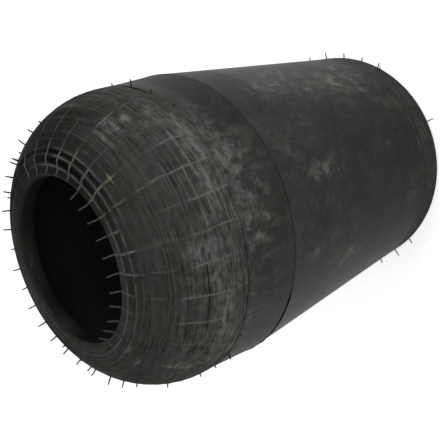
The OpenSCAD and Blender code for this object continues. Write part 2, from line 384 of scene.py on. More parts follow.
# %% The closed section of each layer
under_cover = np.vstack([
    round_bead(SMALL, TURNED_T)[FACE_CORNER[SMALL]:],
    turned_end(SMALL, COVER_T, (0, SHORT_TURNUP)),
    turned_end(SMALL, COVER_T + PLY_T, (SHORT_TURNUP, LONG_TURNUP)),
    ply_face(0)[-3:0:-1],
    turned_end(LARGE, COVER_T + PLY_T, (LONG_TURNUP, SHORT_TURNUP)),
    turned_end(LARGE, COVER_T, (SHORT_TURNUP, 0)),
    round_bead(LARGE, TURNED_T)[:FACE_CORNER[LARGE] - 1:-1],
])
outer_ply_loops = [
    np.vstack([
        ply_face(1), round_bead(SMALL, PLY_T),
        turned_end(SMALL, COVER_T + PLY_T, (0, SHORT_TURNUP, LONG_TURNUP)),
        ply_face(0)[-3:0:-1],
        turned_end(LARGE, COVER_T + PLY_T, (LONG_TURNUP, SHORT_TURNUP, 0)),
        round_bead(LARGE, PLY_T)[::-1],
    ]),
    placed(SMALL, bead_outline(SMALL)),
    bead_outline(LARGE),
]
inner_ply_loops = [np.vstack([
    ply_face(2), round_bead(SMALL, TURNED_T), turned_end(SMALL, COVER_T, (0, SHORT_TURNUP)),
    turned_end(SMALL, COVER_T + PLY_T, (SHORT_TURNUP, 0)), round_bead(SMALL, PLY_T)[::-1],
    ply_face(1)[::-1],
    round_bead(LARGE, PLY_T), turned_end(LARGE, COVER_T + PLY_T, (0, SHORT_TURNUP)),
    turned_end(LARGE, COVER_T, (SHORT_TURNUP, 0)), round_bead(LARGE, TURNED_T)[::-1],
])]
small_last, large_last = CHAMBER_CORNER[SMALL] + 1, CHAMBER_CORNER[LARGE] + 1
deep_liner, plain_liner = COVER_T + TURNED_T + LINED_T, COVER_T + LINED_T
liner_loops = [np.vstack([
    wall_face(deep_liner, plain_liner), round_bead(SMALL, LINED_T)[:small_last],
    round_bead(SMALL, TURNED_T)[:small_last][::-1], ply_face(2)[::-1],
    round_bead(LARGE, TURNED_T)[:large_last], round_bead(LARGE, LINED_T)[:large_last][::-1],
])]
JUNCTION_R = round_bead(SMALL, TURNED_T)[FACE_CORNER[SMALL]][0]
JUNCTION_S = JUNCTION_R - SMALL_BORE_R
print(f"the small chafer meets the cover at radius {JUNCTION_R:.2f} mm")

# %% [markdown]
# ## Vent lines, rings and parting lines
# Air must leave the mould as the rubber swells into it. The mould is scribed with fine grooves
# that run to drilled vents, and rubber fills them: 32 lines down the shoulder, rings across them,
# and a hair at each vent. Where the mould's pieces meet, a thin flash line is left as well.
# A bump map could draw these, but the lines show on the silhouette and in the mesh, so
# they are raised in the grid. The lines wander and fade, so each is a list of stretches: the ones
# that the photograph shows were read off it, and the rest are drawn at random.

# %% What is set for the lines, one by one
SECTORS = 32
FIRST_LINE = np.radians(5.9)
LINE_HEIGHT = 0.55
SEED = 11
# Line number: stretches along it from s to s in mm, and their strength
# A stretch's strength raises a line and paints it pale, partly as a painted highlight
SEEN_STRETCHES = {
    12: ((2, 9, 0.3), (40, 70, 0.2)),
    13: ((2, 10, 0.3), (30, 44, 0.2)),
    14: ((2, 8, 0.35), (70, 90, 0.3)),
    15: ((2, 9, 0.3), (60, 80, 0.2)),
    16: ((2, 8, 0.3), (64, 74, 0.3)),
    17: ((2, 10, 0.35), (54, 70, 0.2), (84, 99, 0.3)),
    18: ((2, 10, 0.3), (52, 80, 0.4)),
    19: ((2, 12, 0.4), (40, 60, 0.3), (70, 98, 0.4)),
    20: ((2, 14, 0.5), (46, 78, 0.9), (78, 99, 0.5)),
    21: ((2, 14, 0.6), (24, 36, 0.3), (48, 84, 1.0), (84, 99, 0.6)),
    22: ((2, 20, 0.9), (20, 46, 0.28), (58, 68, 1.0), (68, 86, 0.7), (86, 98, 0.4)),
    23: ((2, 22, 1.0), (22, 62, 0.2), (62, 98, 0.6)),
    24: ((2, 8, 0.5), (8, 16, 1.0), (46, 62, 0.3), (65, 99, 1.0)),
    25: ((2, 12, 0.8), (19, 30, 0.8), (38, 46, 0.6), (48, 97, 0.75)),
    26: ((2, 23, 1.0), (23, 34, 0.5), (34, 62, 0.2), (66, 92, 0.7)),
    27: ((2, 22, 0.9), (22, 40, 0.2)),
    28: ((2, 26, 0.95), (26, 44, 0.2), (46, 64, 0.8), (70, 78, 0.5)),
    29: ((2, 24, 0.9), (24, 46, 0.26)),
    30: ((2, 18, 0.9), (18, 28, 0.5), (32, 58, 0.28)),
    31: ((2, 18, 0.7), (18, 30, 0.4), (36, 70, 0.32)),
}
# The lines on the photographed side aren't quite even: how far each is from its place, in degrees
SEEN_SHIFTS = {
    18: 1.5, 19: 1.9, 20: 1.1, 21: 0.5, 22: 0.3, 23: -0.4, 24: -0.6, 25: -1.4, 26: -1.6, 27: -1.9,
    28: -2.1, 29: -2.6, 30: -3.0, 31: -2.0, 0: -1.0,
}
# These lines are all but wiped off the lip, which ends where the crown's talc begins
WIPED_LINES = range(1, 12)
WIPED, WIPED_END_S = 0.8, 22
# The lines out of sight: a stretch down from the lip, then three between these lengths
UNSEEN_FROM, UNSEEN_TO, UNSEEN_CUTS = 4, 99, 6
# A line drifts sideways in three waves: size and length in mm, then from s to s and how softly
DRIFTS = ((0.7, 21, 60, 104, 34), (0.4, 9, 40, 103, 20), (0.25, 3.1, 8, 101, 6))
# How many times its root mean square a sum of sines mostly reaches
RIPPLE_PEAK = 1.6
print("lines set one by one:", len(SEEN_STRETCHES), "of", SECTORS)

# %% Where the lines run and how strong they are
rng = np.random.default_rng(SEED)


def between(s, start, end, soft):
    """1 between start and end and 0 outside, with straight slopes of length soft."""
    return np.clip(np.minimum(s - start, end - s) / soft + 0.5, 0, 1)


def closed_ripple(angle, turns, fade):
    """A random curve that closes on itself: a sum of sines of 1 to `turns` waves a turn, each weaker
    by its number to the power fade, scaled to lie mostly between -1 and 1."""
    number = np.arange(1, turns + 1)
    weight = rng.normal(size=turns) / number ** fade
    phase = rng.uniform(0, 2 * np.pi, turns)
    curve = (np.sin(np.asarray(angle)[..., None] * number + phase) * weight).sum(-1)
    return curve / (RIPPLE_PEAK * np.sqrt((weight ** 2).sum() / 2))


def line_wander(s):
    """Sideways drift of each line in mm at each s: its waves, size sin(s / length + a random phase),
    and its shift round the axis, an angle times the radius."""
    phases = rng.uniform(0, 2 * np.pi, (len(DRIFTS), SECTORS))
    drift = 0
    for (size, length, start, end, soft), phase in zip(DRIFTS, phases):
        drift = drift + size * np.sin(s[:, None] / length + phase) * between(s, start, end, soft)[:, None]
    shift = np.radians([SEEN_SHIFTS.get(line, 0.0) for line in range(SECTORS)])
    return drift + shift * skin(s)[0][:, None] * between(s, 4.5, 102, 5)[:, None]


def line_strength(s):
    """How much of each line is left at each s, 0 to 1: its stretches laid over each other."""
    strength = np.zeros((len(s), SECTORS))
    for line in range(SECTORS):
        stretches = SEEN_STRETCHES.get(line)
        if stretches is None:
            cuts = np.sort(rng.uniform(UNSEEN_FROM, UNSEEN_TO, UNSEEN_CUTS))
            stretches = [(2, rng.uniform(12, 26), rng.uniform(0.4, 1))]
            stretches += [(*cuts[i:i + 2], rng.uniform(0.2, 0.95)) for i in range(0, UNSEEN_CUTS, 2)]
        for start, end, level in stretches:
            strength[:, line] = np.maximum(strength[:, line], level * between(s, start, end, 3))
    strength[:, WIPED_LINES] *= 1 - WIPED * between(s, -10, WIPED_END_S, 6)[:, None]
    return strength


TABLE_S = np.linspace(0, 110, 441)
LINE_TABLES = line_wander(TABLE_S), line_strength(TABLE_S)


def lines_at(s):
    """Drift and strength of every line at each s, read from their tables by interpolation."""
    return [np.column_stack([np.interp(s, TABLE_S, line) for line in table.T]) for table in LINE_TABLES]


print(f"vent lines: {SECTORS}, drifting up to {np.abs(LINE_TABLES[0]).max():.1f} mm")

# %% [markdown]
# ### Rings, cracks and parting lines
# Rings were scribed across the lines, and the sleeve's own folds leave fine cracks between them.
# The parting lines are where the rubber crept into the joints of the mould. Each kind is a short
# table here, so that a mark can be moved or weakened without touching the mesh.

# %% Tables of the marks round the sleeve
# Rings across the lines: s in mm, height, half width, and how light the raised rubber is painted,
# partly as a painted highlight
RINGS = (
    (8.8, 0.50, 0.8, 1.0), (16.6, 0.40, 0.7, 0.9), (22.0, 0.30, 0.7, 0.7),
    (28.8, 0.25, 0.7, 0.8), (35.5, 0.20, 0.6, 0.3), (42.8, 0.22, 0.6, 0.4),
    (48.0, 0.20, 0.6, 0.35), (54.5, 0.20, 0.6, 0.3), (61.0, 0.22, 0.7, 0.6),
    (67.6, 0.25, 0.8, 0.8), (73.4, 0.35, 0.9, 1.0), (80.0, 0.40, 0.9, 1.0),
    (86.0, 0.35, 0.9, 1.0), (91.0, 0.35, 0.9, 0.9), (96.4, 0.3, 0.8, 0.7),
    (371.8, 0.15, 0.7, 0.8), (376.4, 0.15, 0.7, 0.4), (379.6, 0.18, 0.7, 0.7),
    (387.1, 0.18, 0.7, 0.9), (391.8, 0.15, 0.7, 0.6),
)
# Stretches of a ring that the photograph shows bright: from azimuth to azimuth, and how bright
# A bright stretch is painted pale, partly as a painted highlight on the crest
SEEN_ARCS = {
    8.8: ((104, 152, 0.7), (198, 252, 0.9), (253, 263, 1.0), (265, 283, 1.0), (289, 352, 1.0)),
    16.6: ((198, 250, 0.5), (255, 262, 0.6), (268, 275, 1.0), (277, 281, 0.9), (285, 307, 1.0),
        (308, 318, 0.5), (319, 328, 1.0), (328, 334, 0.6)),
    22.0: ((215, 246, 0.35), (255, 278, 0.2), (279, 296, 0.6), (298, 326, 0.9), (329, 334, 0.9)),
    28.8: ((255, 282, 0.12), (285, 292, 0.12), (294, 300, 1.0), (302, 305, 0.25), (312, 324, 0.25)),
    61.0: ((240, 262, 0.5), (278, 291, 1.0)),
    67.6: ((228, 236, 0.8), (252, 262, 0.4), (272, 290, 0.3)),
    73.4: ((236, 248, 0.9), (254, 262, 0.4), (264, 286, 1.0), (288, 300, 0.5)),
    80.0: ((222, 243, 0.8), (246, 262, 0.5), (262, 276, 1.0), (282, 300, 1.0), (300, 318, 0.5)),
    86.0: ((222, 240, 0.8), (242, 262, 0.4), (264, 280, 1.0), (286, 300, 0.8)),
    91.0: ((210, 236, 0.5), (240, 262, 0.6), (264, 280, 1.0), (289, 306, 1.0)),
    96.4: ((214, 230, 0.7), (262, 300, 1.0)),
    371.8: ((225, 262, 0.2), (264, 278, 1.0)),
    376.4: ((266, 277, 0.2), (285, 292, 0.3)),
    379.6: ((264, 277, 0.8), (285, 292, 0.6)),
    387.1: ((266, 278.5, 1.0), (285, 292, 0.3)),
    391.8: ((266, 276, 0.7), (286, 294, 0.6)),
}
# Cracks between old rings, where the rubber folded, with painted shade in them: s in mm, azimuth and
# half width in degrees, and how dark their painted shade is
CRACKS = (
    (66.3, 243, 15, 1.0), (42.0, 262, 30, 0.5), (42.0, 309, 12, 0.8), (54.3, 245, 18, 0.5),
    (51.6, 228, 14, 0.5), (36.2, 300, 20, 0.5), (47.2, 315, 9, 0.7), (58.4, 218, 10, 0.6),
    (19.5, 240, 20, 0.3), (76.8, 268, 16, 0.4),
)
CRACK_DEPTH, CRACK_HALF_WIDTH = 0.35, 0.9
# The mould's parting lines stand up sharp, and hold the dark of their own shadow
PARTING_HEIGHT, PARTING_HALF_WIDTH = 0.45, 0.8
# Each one's place, then how dark and how high it is at each azimuth
PARTINGS = (
    (SHOULDER_S, ((190, 0.7), (200, 0.8), (225, 0.8), (258, 0.65), (268, 0.25), (318, 0.25), (324, 0.9),
        (345, 1.0), (360, 0.7))),
    (BELT_S, ((190, 1.0), (202, 1.6), (226, 1.6), (233, 0.65), (240, 0.55), (300, 0.6), (330, 0.55),
        (345, 0.6), (360, 0.7))),
    (FOOT_S, ((205, 0.4), (222, 0.12), (312, 0.12), (328, 0.6), (345, 0.6), (360, 0.4))),
)
print("rings:", len(RINGS), "cracks:", len(CRACKS), "parting lines:", len(PARTINGS))

# %% [markdown]
# ## The grid of the skin
# A grid of even steps would need millions of points to hold a line 1 mm wide. Here the columns
# crowd round each vent line and wander with it, and the rows crowd at each ring, so that a crest
# is always on a row or a column. Between them the steps are several times wider.

# %% Columns that follow the vent lines, rows that follow the rings
# Offsets of a sector's columns from the line at its start or end in mm, and how far they lie from
# the one towards the other
START_OFFSETS, END_OFFSETS, FREE_COLUMNS = (0.0, 0.6, 1.15), (-1.15, -0.6), 7
free_share = np.arange(1, FREE_COLUMNS + 1) / (FREE_COLUMNS + 1)
column_share = np.concatenate([np.zeros(3), free_share, np.ones(2)])
column_offset = np.concatenate([START_OFFSETS, START_OFFSETS[-1] * (1 - 2 * free_share), END_OFFSETS])
COLUMNS = SECTORS * len(column_share)
# How much of a line's height its columns have, from the line itself outwards
ON_LINE, BESIDE_LINE = 1.0, 0.5
# Rows closer than this are one row
LEAST_STEP = 0.12
# The body's radius, on which the skin is unrolled
ROUND_R = 120.0


def crowded(stations, half_width, low, high, step, sharp_stations=()):
    """Row places from low to high: each station with two rows on either side, each sharp one with
    one, then gaps no wider than step."""
    around = np.append(np.add.outer(stations, half_width * np.array([-1, -0.5, 0, 0.5, 1])),
                       np.add.outer(sharp_stations, half_width * np.array([-1, 0, 1])))
    rows = np.unique(np.round(np.concatenate([[low, high], around[(around > low) & (around < high)]]), 3))
    rows = rows[np.append(True, np.diff(rows) > LEAST_STEP)]
    fills = [np.linspace(a, b, int(np.ceil((b - a) / step)) + 1)[:-1] for a, b in zip(rows, rows[1:])]
    return np.append(np.concatenate(fills), rows[-1])


def column_angles(s, wander):
    """Angle of each column at each s: the two lines beside it mixed by its share, plus its offset
    over the radius."""
    r = skin(s)[0][:, None]
    line = FIRST_LINE + 2 * np.pi * np.arange(SECTORS + 1) / SECTORS
    line = line + np.column_stack([wander, wander[:, 0]]) / r
    start, end = line[:, :-1, None], line[:, 1:, None]
    angle = start + (end - start) * column_share + column_offset / r[:, :, None]
    return angle.reshape(len(s), COLUMNS)


HIGH_RINGS = [ring[0] for ring in RINGS if ring[0] < SHOULDER_S]
FOOT_RINGS = [ring[0] for ring in RINGS if ring[0] > SHOULDER_S]
CORNER_S = s_at(FOOT_R, FOOT_CORNER_R)
# Each stretch of the skin: its stations, how far the rows reach on either side of one, from which s
# to which, the widest gap, and the sharp stations
skin_rows = np.concatenate([
    crowded(HIGH_RINGS + [CREST_S], 0.85, JUNCTION_S, SHOULDER_S - 1, 1.7, [crack[0] for crack in CRACKS]),
    crowded([SHOULDER_S], 2 * PARTING_HALF_WIDTH, SHOULDER_S - 0.9, SHOULDER_S + 3, 1.7),
    crowded([BELT_S], 2 * PARTING_HALF_WIDTH, SHOULDER_S + 7, 366, 7.5),
    crowded(FOOT_RINGS + [FOOT_S], 0.6, 370, CORNER_S, 2.4),
    np.linspace(CORNER_S + 1.6, s_at(FOOT_R - FOOT_CORNER_R, 0), 12),
])
print("skin grid:", len(skin_rows), "rows by", COLUMNS, "columns")

# %% [markdown]
# ### Raising the marks
# A ridge is added where a row or a column lies on a mark, and its strength changes along the mark.
# Sculpting could give the same relief, but a formula keeps every ridge as thin as the scribed groove
# that it came from, and tells the material where the rubber is raised, folded or torn, so that it
# paints a highlight on the crests and shade in the cracks and along the parting lines.

# %% Height, light and dark of every mark
# Azimuths are counted from here, out of sight, so that a mark may run on past 360 degrees
FIRST_SEEN = 100
# How much of a ring is left where no stretch is given: on the visible side and out of sight
VISIBLE_SIDE = (197, 400)
FADED, UNSEEN_FADED = 0.15, 0.4
USUAL_ARC = (197, 351, 0.5)
# The rings on the lip are less patchy than the others
LIP_END_S, STEADY, PATCHY = 20, 0.9, 0.65


def azimuths(angle):
    """The angles in degrees, counted from the first that is seen."""
    return (np.degrees(angle) - FIRST_SEEN) % 360 + FIRST_SEEN


def degrees_away(angle, azimuth):
    """How far the angles are from this azimuth, -180 to 180 degrees."""
    return (np.degrees(angle) - azimuth + 180) % 360 - 180


def ring_arcs(place, angle):
    """How much of a ring is left at each angle: its seen stretches, and a faded ring between them."""
    turn = azimuths(angle)
    left = np.where(between(turn, *VISIBLE_SIDE, 1) > 0, FADED, UNSEEN_FADED)
    for start, end, level in SEEN_ARCS.get(place, (USUAL_ARC,)):
        left = np.maximum(left, level * between(turn, start, end, 1.5))
    return left


def relief(s, angle, strength):
    """Height of the skin's raised marks in mm and how light and dark they are painted, all on the grid:
    the dark is painted shade, and the light partly a painted highlight.
    A ring is a ridge, 1 - (distance / half width) squared, a crack and a parting line are straight-
    sided, 1 - distance / half width, and each is times a strength that changes along it."""
    on_line = np.zeros(len(column_share))
    on_line[[0, 1, -1]] = ON_LINE, BESIDE_LINE, BESIDE_LINE
    light = (strength[:, :, None] * on_line).reshape(len(s), COLUMNS)
    # The last column of a sector belongs to the next line
    light[:, len(column_share) - 1::len(column_share)] = np.roll(strength, -1, axis=1) * BESIDE_LINE
    height, dark = LINE_HEIGHT * light, np.zeros(angle.shape)
    for place, tall, half, level in RINGS:
        ridge = np.clip(1 - ((s - place) / half) ** 2, 0, 1)[:, None]
        steady = STEADY if place < LIP_END_S else PATCHY
        patchy = np.clip(steady + 0.5 * closed_ripple(angle, 40, 0.2), 0, 1) * ring_arcs(place, angle)
        height = np.maximum(height, tall * ridge * (0.4 + 0.6 * patchy))
        light = np.maximum(light, level * ridge * patchy)
    for place, azimuth, wide, level in CRACKS:
        along = np.exp(-(degrees_away(angle, azimuth) / wide) ** 4)
        cut = np.clip(1 - np.abs(s - place) / CRACK_HALF_WIDTH, 0, 1)[:, None] * along
        height = height - CRACK_DEPTH * level * cut
        dark = np.maximum(dark, level * cut)
    for place, levels in PARTINGS:
        left = np.interp(np.degrees(angle) % 360, *zip(*levels), period=360)
        away = np.abs(s - place)[:, None] / PARTING_HALF_WIDTH
        ridge = np.clip(1 - away, 0, 1) * left
        torn = np.clip(0.7 + 0.4 * closed_ripple(angle, 60, 0), 0.2, 1)
        height = np.maximum(height, PARTING_HEIGHT * ridge * torn)
        dark = np.maximum(dark, np.clip(2 * left ** 2 * (0.5 + 0.5 * torn - away / 2), 0, left))
    return height, light, dark


print(f"marks: lines {LINE_HEIGHT} mm high, parting lines {PARTING_HEIGHT} mm, cracks {CRACK_DEPTH} mm deep")

# %% [markdown]
# ### Talc, darker bands and painted shade
# The mould was dusted with talc, and hands and mating parts have wiped it since. Soft smears say how
# dusty a place is, and one of them is a painted highlight at the lip's edge. Bands say where the
# colour is painted darker: painted shade along one side of the shoulder and the body, a painted
# shadow line at the foot, and darker stretches mostly between the rings at the lip. Both are laid on
# the grid's points, and the finish gives them their fine form.

# %% Smears of talc, darker bands and painted shade
# Smears of talc, and one painted highlight along the lip's edge: azimuth in degrees and s in mm of a
# smear's middle, its half width and half length, and strength
TALC_AND_HIGHLIGHT_SMEARS = (
    (245, 82, 42, 18, 0.27), (312.5, 44.6, 5.5, 1.8, 1.2), (314, 54, 4, 3.6, 1.6),
    (313, 64.6, 2.2, 2.4, 1.3), (302, 64, 5, 5, 0.3), (258.5, 65, 4, 9, 0.8), (251, 57, 5, 3.5, 0.5),
    (237, 80, 6, 4, 0.7), (248, 75, 6, 6, 0.5), (279, 85, 4, 4, 0.7), (292, 93, 8, 5, 0.9),
    (301, 93, 6, 4, 0.7), (291, 80, 9, 2, 0.4), (270, 86, 8, 7, 0.3), (216, 96, 4, 3, 0.8),
    (206.8, 50, 1.0, 4, 1.8), (207.4, 61, 1.0, 5, 1.8), (203, 27.8, 2.4, 1.2, 2.2),
    (208, 17.5, 3, 2, 0.8), (240, 56, 45, 14, 0.1), (328, 72, 6, 7, 0.4), (345, 62, 5, 5, 0.5),
    (265, 42, 5, 5, 0.2), (215, 60, 16, 16, 0.2), (264, 112, 8, 12, 0.8), (282, 112, 10, 11, 0.9),
    (299, 109, 7, 8, 0.6), (309, 116, 4, 5, 0.7), (240, 106, 14, 8, 0.35), (279, 122, 4, 5, 0.6),
    (263, 127, 4, 6, 0.6), (257, 115, 3, 5, 0.5), (310, 82, 6, 5, 0.5), (307, 72, 3, 3, 0.4),
    (252, 67.5, 3, 3, 0.5), (257, 69.5, 3, 3, 0.3), (290, 345, 4, 12, 0.5), (211.5, 199, 1.2, 5, 1.5),
    (228, 204, 6, 14, 0.3), (272, 124, 34, 18, 0.35), (222, 106, 12, 6, 0.5), (220, 84, 14, 14, 0.3),
    # The smear at azimuth 118 and s 2.6 is a painted highlight along the lip's edge
    (288, 86, 16, 12, 0.1), (270, 392, 90, 14, 0.25), (118, 2.6, 32, 1.1, 1.0), (242, 180, 3, 8, 0.8),
    (244, 205, 3, 6, 0.5), (231, 231, 5, 17, 0.9), (269, 206, 3.5, 18, 0.85), (282, 172, 6, 4, 0.6),
    (275, 190, 26, 34, 0.25), (310, 202, 6, 20, 1.0), (305, 253, 5, 15, 1.0), (317, 235, 7, 40, 0.9),
    (307, 296, 10, 22, 0.9), (300, 329, 5, 6, 0.9), (316, 335, 12, 34, 0.9), (215, 304, 5, 20, 0.6),
    (218, 250, 8, 30, 0.3), (245, 347, 5, 10, 0.5), (271, 315, 1.5, 4, 0.9), (210, 195, 5, 9, 1.0),
    (200, 300, 10, 90, 0.35), (345, 270, 14, 110, 0.6),
)
# From s to s, then how black the band is at each azimuth: painted shade, and darker rubber at the lip
DARK_AND_SHADE_BANDS = (
    (2.0, 7.9, ((262, 0), (272, 0.15), (280, 0.4), (291, 0.4), (302, 0.55), (313, 0.7), (346, 0.6),
        (366, 0.5), (395, 0.5), (425, 0.2), (455, 0))),
    (4.6, 7.9, ((104, 0), (114, 0.25), (138, 0.25), (152, 0))),
    (7.6, 10.3, ((354, 0), (362, 0.6), (380, 0.6), (410, 0))),
    (10.0, 15.8, ((226, 0), (237, 0.25), (248, 0.4), (259, 0.35), (270, 0.5), (291, 0.65), (302, 0.85),
        (324, 1), (335, 0.95), (346, 0.8), (358, 0.4), (366, 0.65), (396, 0.65), (420, 0))),
    (10.2, 13.4, ((112, 0), (122, 0.4), (146, 0.4), (156, 0))),
    (15.4, 23.2, ((333, 0), (338, 0.6), (350, 0.6), (366, 0.75), (384, 0.6), (400, 0.2), (420, 0))),
    (17.4, 21.4, ((235, 0), (248, 0.2), (259, 0.35), (280, 0.25), (291, 0.7), (302, 0.8), (313, 0.85),
        (335, 1), (340, 0.3), (354, 0.2), (384, 0.3), (400, 0))),
    (22.8, 34.0, ((262, 0), (270, 0.1), (280, 0.25), (291, 0.3), (313, 0.45), (324, 0.55), (335, 0.7),
        (350, 0.7), (380, 0.3), (400, 0))),
    # These two bands are painted shade along one side of the shoulder
    (34.0, 58.0, ((310, 0), (324, 0.35), (331, 0.55), (338, 0.7), (365, 0.6), (385, 0))),
    (60.0, 80.0, ((281, 0), (288, 0.3), (296, 0), (304, 0), (313, 0.1), (324, 0.35), (335, 0.3),
        (346, 0.5), (365, 0.4), (385, 0))),
    # Painted shade along the same side of the band and the body
    (118.0, 192.0, ((293, 0), (299, 0.25), (306, 0.3), (313, 0.3), (324, 0.45), (340, 0.5), (365, 0))),
    # A painted shadow line along the foot's edge
    (387.0, 407.0, ((198, 0), (206, 0.7), (216, 0.6), (224, 0.4), (232, 0.3), (242, 0))),
)


def smears(s, angle):
    """Bell-shaped smears of talc and one painted highlight, exp(-distance squared), added up and capped at
    1.
    """
    total = np.zeros(angle.shape)
    for azimuth, place, wide, long, level in TALC_AND_HIGHLIGHT_SMEARS:
        turn = degrees_away(angle, azimuth)
        total += level * np.exp(-(turn / wide) ** 2 - ((s[:, None] - place) / long) ** 2)
    return np.clip(total, 0, 1)


def dark_and_shade_bands(s, angle):
    """The black of the darker bands, which is partly painted shade, 1 where it is blackest. Further down the
    skin they begin and end more softly, but never over more than half of their width."""
    turn, total = azimuths(angle), 0
    for start, end, levels in DARK_AND_SHADE_BANDS:
        soft = min(1 + 0.04 * start, 0.5 * (end - start))
        total = total + between(s, start, end, soft)[:, None] * np.interp(turn, *zip(*levels))
    return np.clip(total, 0, 1)


# The darker bands counted here are partly painted shade
print("talc smears:", len(TALC_AND_HIGHLIGHT_SMEARS), "clean bands:", len(DARK_AND_SHADE_BANDS))

# %% [markdown]
# ## From rows and columns to closed pieces
# A closed section gives a closed grid: its last row joins its first and its last column its first.
# A piece is stacked from parts: rows of the skin with their marks, then plain rows for the hidden
# back. Three attributes go along for the finish: where a point lies on the unrolled skin, how much
# light raised rubber is there, partly a painted highlight, and how much painted shade, darker rubber and
# dust.

# %% Parts of a section
UNROLLED, MARKS = "unrolled", "marks"
EVEN_COLUMNS = 192
straight_angles = column_angles(np.array([200.0]), np.zeros((1, SECTORS)))
even_angles = 2 * np.pi * np.arange(EVEN_COLUMNS)[None] / EVEN_COLUMNS


def skin_part(s):
    """Rows of the skin at these lengths, raised by their relief along the outline's normal. The darker
    bands, partly painted shade, darken what the raised lines leave."""
    wander, strength = lines_at(s)
    angle = column_angles(s, wander)
    height, light, dark = relief(s, angle, strength)
    dark = np.maximum(dark, dark_and_shade_bands(s, angle) * (1 - np.clip(2.5 * light, 0, 1)))
    r, z, nr, nz = (value[:, None] for value in skin(s))
    place = r + nr * height, z + nz * height, angle, s[:, None] + 0 * angle
    return *place, light, dark, smears(s, angle)


def plain_part(points, angles=straight_angles, step=12.0):
    """Plain rows through these points, none further apart than step, with nothing marked."""
    points = np.asarray(points, float)
    gaps = np.hypot(*np.diff(points, axis=0).T)
    rows = [np.linspace(a, b, int(np.ceil(gap / step)) + 1)[:-1]
            for a, b, gap in zip(points, points[1:], gaps)]
    r, z = np.vstack(rows + [points[-1:]]).T[:, :, None] + 0 * angles
    s = np.append(0, np.cumsum(np.hypot(np.diff(r[:, 0]), np.diff(z[:, 0]))))[:, None] + 0 * angles
    return r, z, angles + 0 * r, s, 0 * r, 0 * r, 0 * r


print("columns of a plain piece:", EVEN_COLUMNS)

# %% The mesh that the parts make
def ring_faces(rows, columns, start):
    """Quads of a grid that closes both ways: corner (i, j) joins (i, j+1), (i+1, j+1) and (i+1, j)."""
    i, j = np.meshgrid(np.arange(rows), np.arange(columns), indexing="ij")
    i2, j2 = (i + 1) % rows, (j + 1) % columns
    quads = np.stack([i * columns + j, i * columns + j2, i2 * columns + j2, i2 * columns + j], -1)
    return start + quads.reshape(-1, 4)


def new_piece(name, mesh):
    """A piece of this mesh, smooth and at the origin."""
    mesh.shade_smooth()
    piece = bpy.data.objects.new(name, mesh)
    scene.collection.objects.link(piece)
    return piece


def turned_piece(name, loops, sharp=30):
    """A mesh of closed sections carried round Z: x = r cos a, y = r sin a. The first loop is the
    outside and the others are holes, and each is turned to face out of the solid by the sign of
    its area, half the sum of r dz - z dr."""
    places, faces, marks, start = [], [], [], 0
    for number, parts in enumerate(loops):
        r, z, angle, s, *shades = (np.vstack(field) for field in zip(*parts))
        quads = ring_faces(*r.shape, start)
        around, up = r.mean(1), z.mean(1)
        area = (around * np.roll(up, -1) - np.roll(around, -1) * up).sum()
        if (area < 0) == (number == 0):
            quads = quads[:, ::-1]
        start += r.size
        faces.append(quads)
        places.append(np.stack([r * np.cos(angle), r * np.sin(angle), z], -1).reshape(-1, 3) * MM)
        unrolled = [ROUND_R * np.cos(angle), ROUND_R * np.sin(angle), s]
        marks.append(np.stack([*unrolled, *shades], -1).reshape(-1, 6))
    places, marks, faces = np.concatenate(places), np.concatenate(marks), np.concatenate(faces)
    mesh = bpy.data.meshes.new(name)
    mesh.from_pydata(places, [], faces)
    for field, values in ((UNROLLED, marks[:, :3]), (MARKS, marks[:, 3:])):
        mesh.attributes.new(field, "FLOAT_VECTOR", "POINT").data.foreach_set("vector", values.ravel())
    piece = new_piece(name, mesh)
    mesh.set_sharp_from_angle(angle=np.radians(sharp))
    print(f"{name}: {2 * len(faces)} triangles")
    return piece


print("a closed grid of 3 by 4 points has", len(ring_faces(3, 4, 0)), "faces")

# %% [markdown]
# ### The cover and the seats
# The cover's marked skin closes through a plain back that lies on the plies. The chafers close the
# bores, and a piston's neck and a plate's skirt wipe them as they are pressed in, so that they are
# blacker than the skin, with a little dust left where nothing rubbed. Their colour also carries painted
# shade that deepens into the bore.

# %% Cover and chafers with the skin's marks
# A seat is wiped clean, more in some places, and painted darker into the bore as painted shade:
# azimuth, then how black it is at the lip and at its inner edge, where less than 0 is dusty
SEAT_SHADES = (
    (0, 0.45, 0.5), (54, 0.3, 0.48), (68, 0.0, 0.38), (82, -0.9, 0.45), (94, -0.1, 0.5),
    (104, 0.35, 0.7), (118, 0.45, 0.85), (134, -0.2, 0.5), (144, 0.15, 0.6), (156, 0.85, 0.8),
    (172, 0.9, 0.7), (182, 0.6, 0.6), (200, 0.2, 0.6),
)
# Towards its inner edge a seat is painted darker still, as the shade of the bore, but it is never blacker
# than this
EDGE_DARK, EDGE_POWER, BLACKEST = 0.35, 8, 0.8


def with_seat_shade_and_dust(end, part):
    """The same rows with the seat's painted shade and dust: mixed by depth from the lip to the inner edge,
    plus
    EDGE_DARK depth^EDGE_POWER, and never above BLACKEST."""
    r, z, angle, s, light = part[:5]
    depth = HEIGHT - z if end == SMALL else z
    inwards = np.clip((depth - LIP_R) / (SEAT_L - LIP_R), 0, 1)
    azimuth, *levels = zip(*SEAT_SHADES)
    at_lip, at_edge = (np.interp(np.degrees(angle), azimuth, level, period=360) for level in levels)
    shade = at_lip + (at_edge - at_lip) * inwards + EDGE_DARK * inwards ** EDGE_POWER
    return r, z, angle, s, light, np.clip(shade, 0, BLACKEST), np.clip(-shade, 0, 1)


def chafer_back(end):
    """The hidden back of a chafer from the face to the liner, then the bore wall up to the lip."""
    back = round_bead(end, TURNED_T)[CHAMBER_CORNER[end]:FACE_CORNER[end] + 1][::-1]
    edge = round_bead(end, LINED_T)[CHAMBER_CORNER[end]]
    wall = placed(end, [(BORE_R[end], depth) for depth in (SEAT_L, SEAT_L - 3, LIP_R + 0.3)])
    return np.vstack([back, [edge], wall])


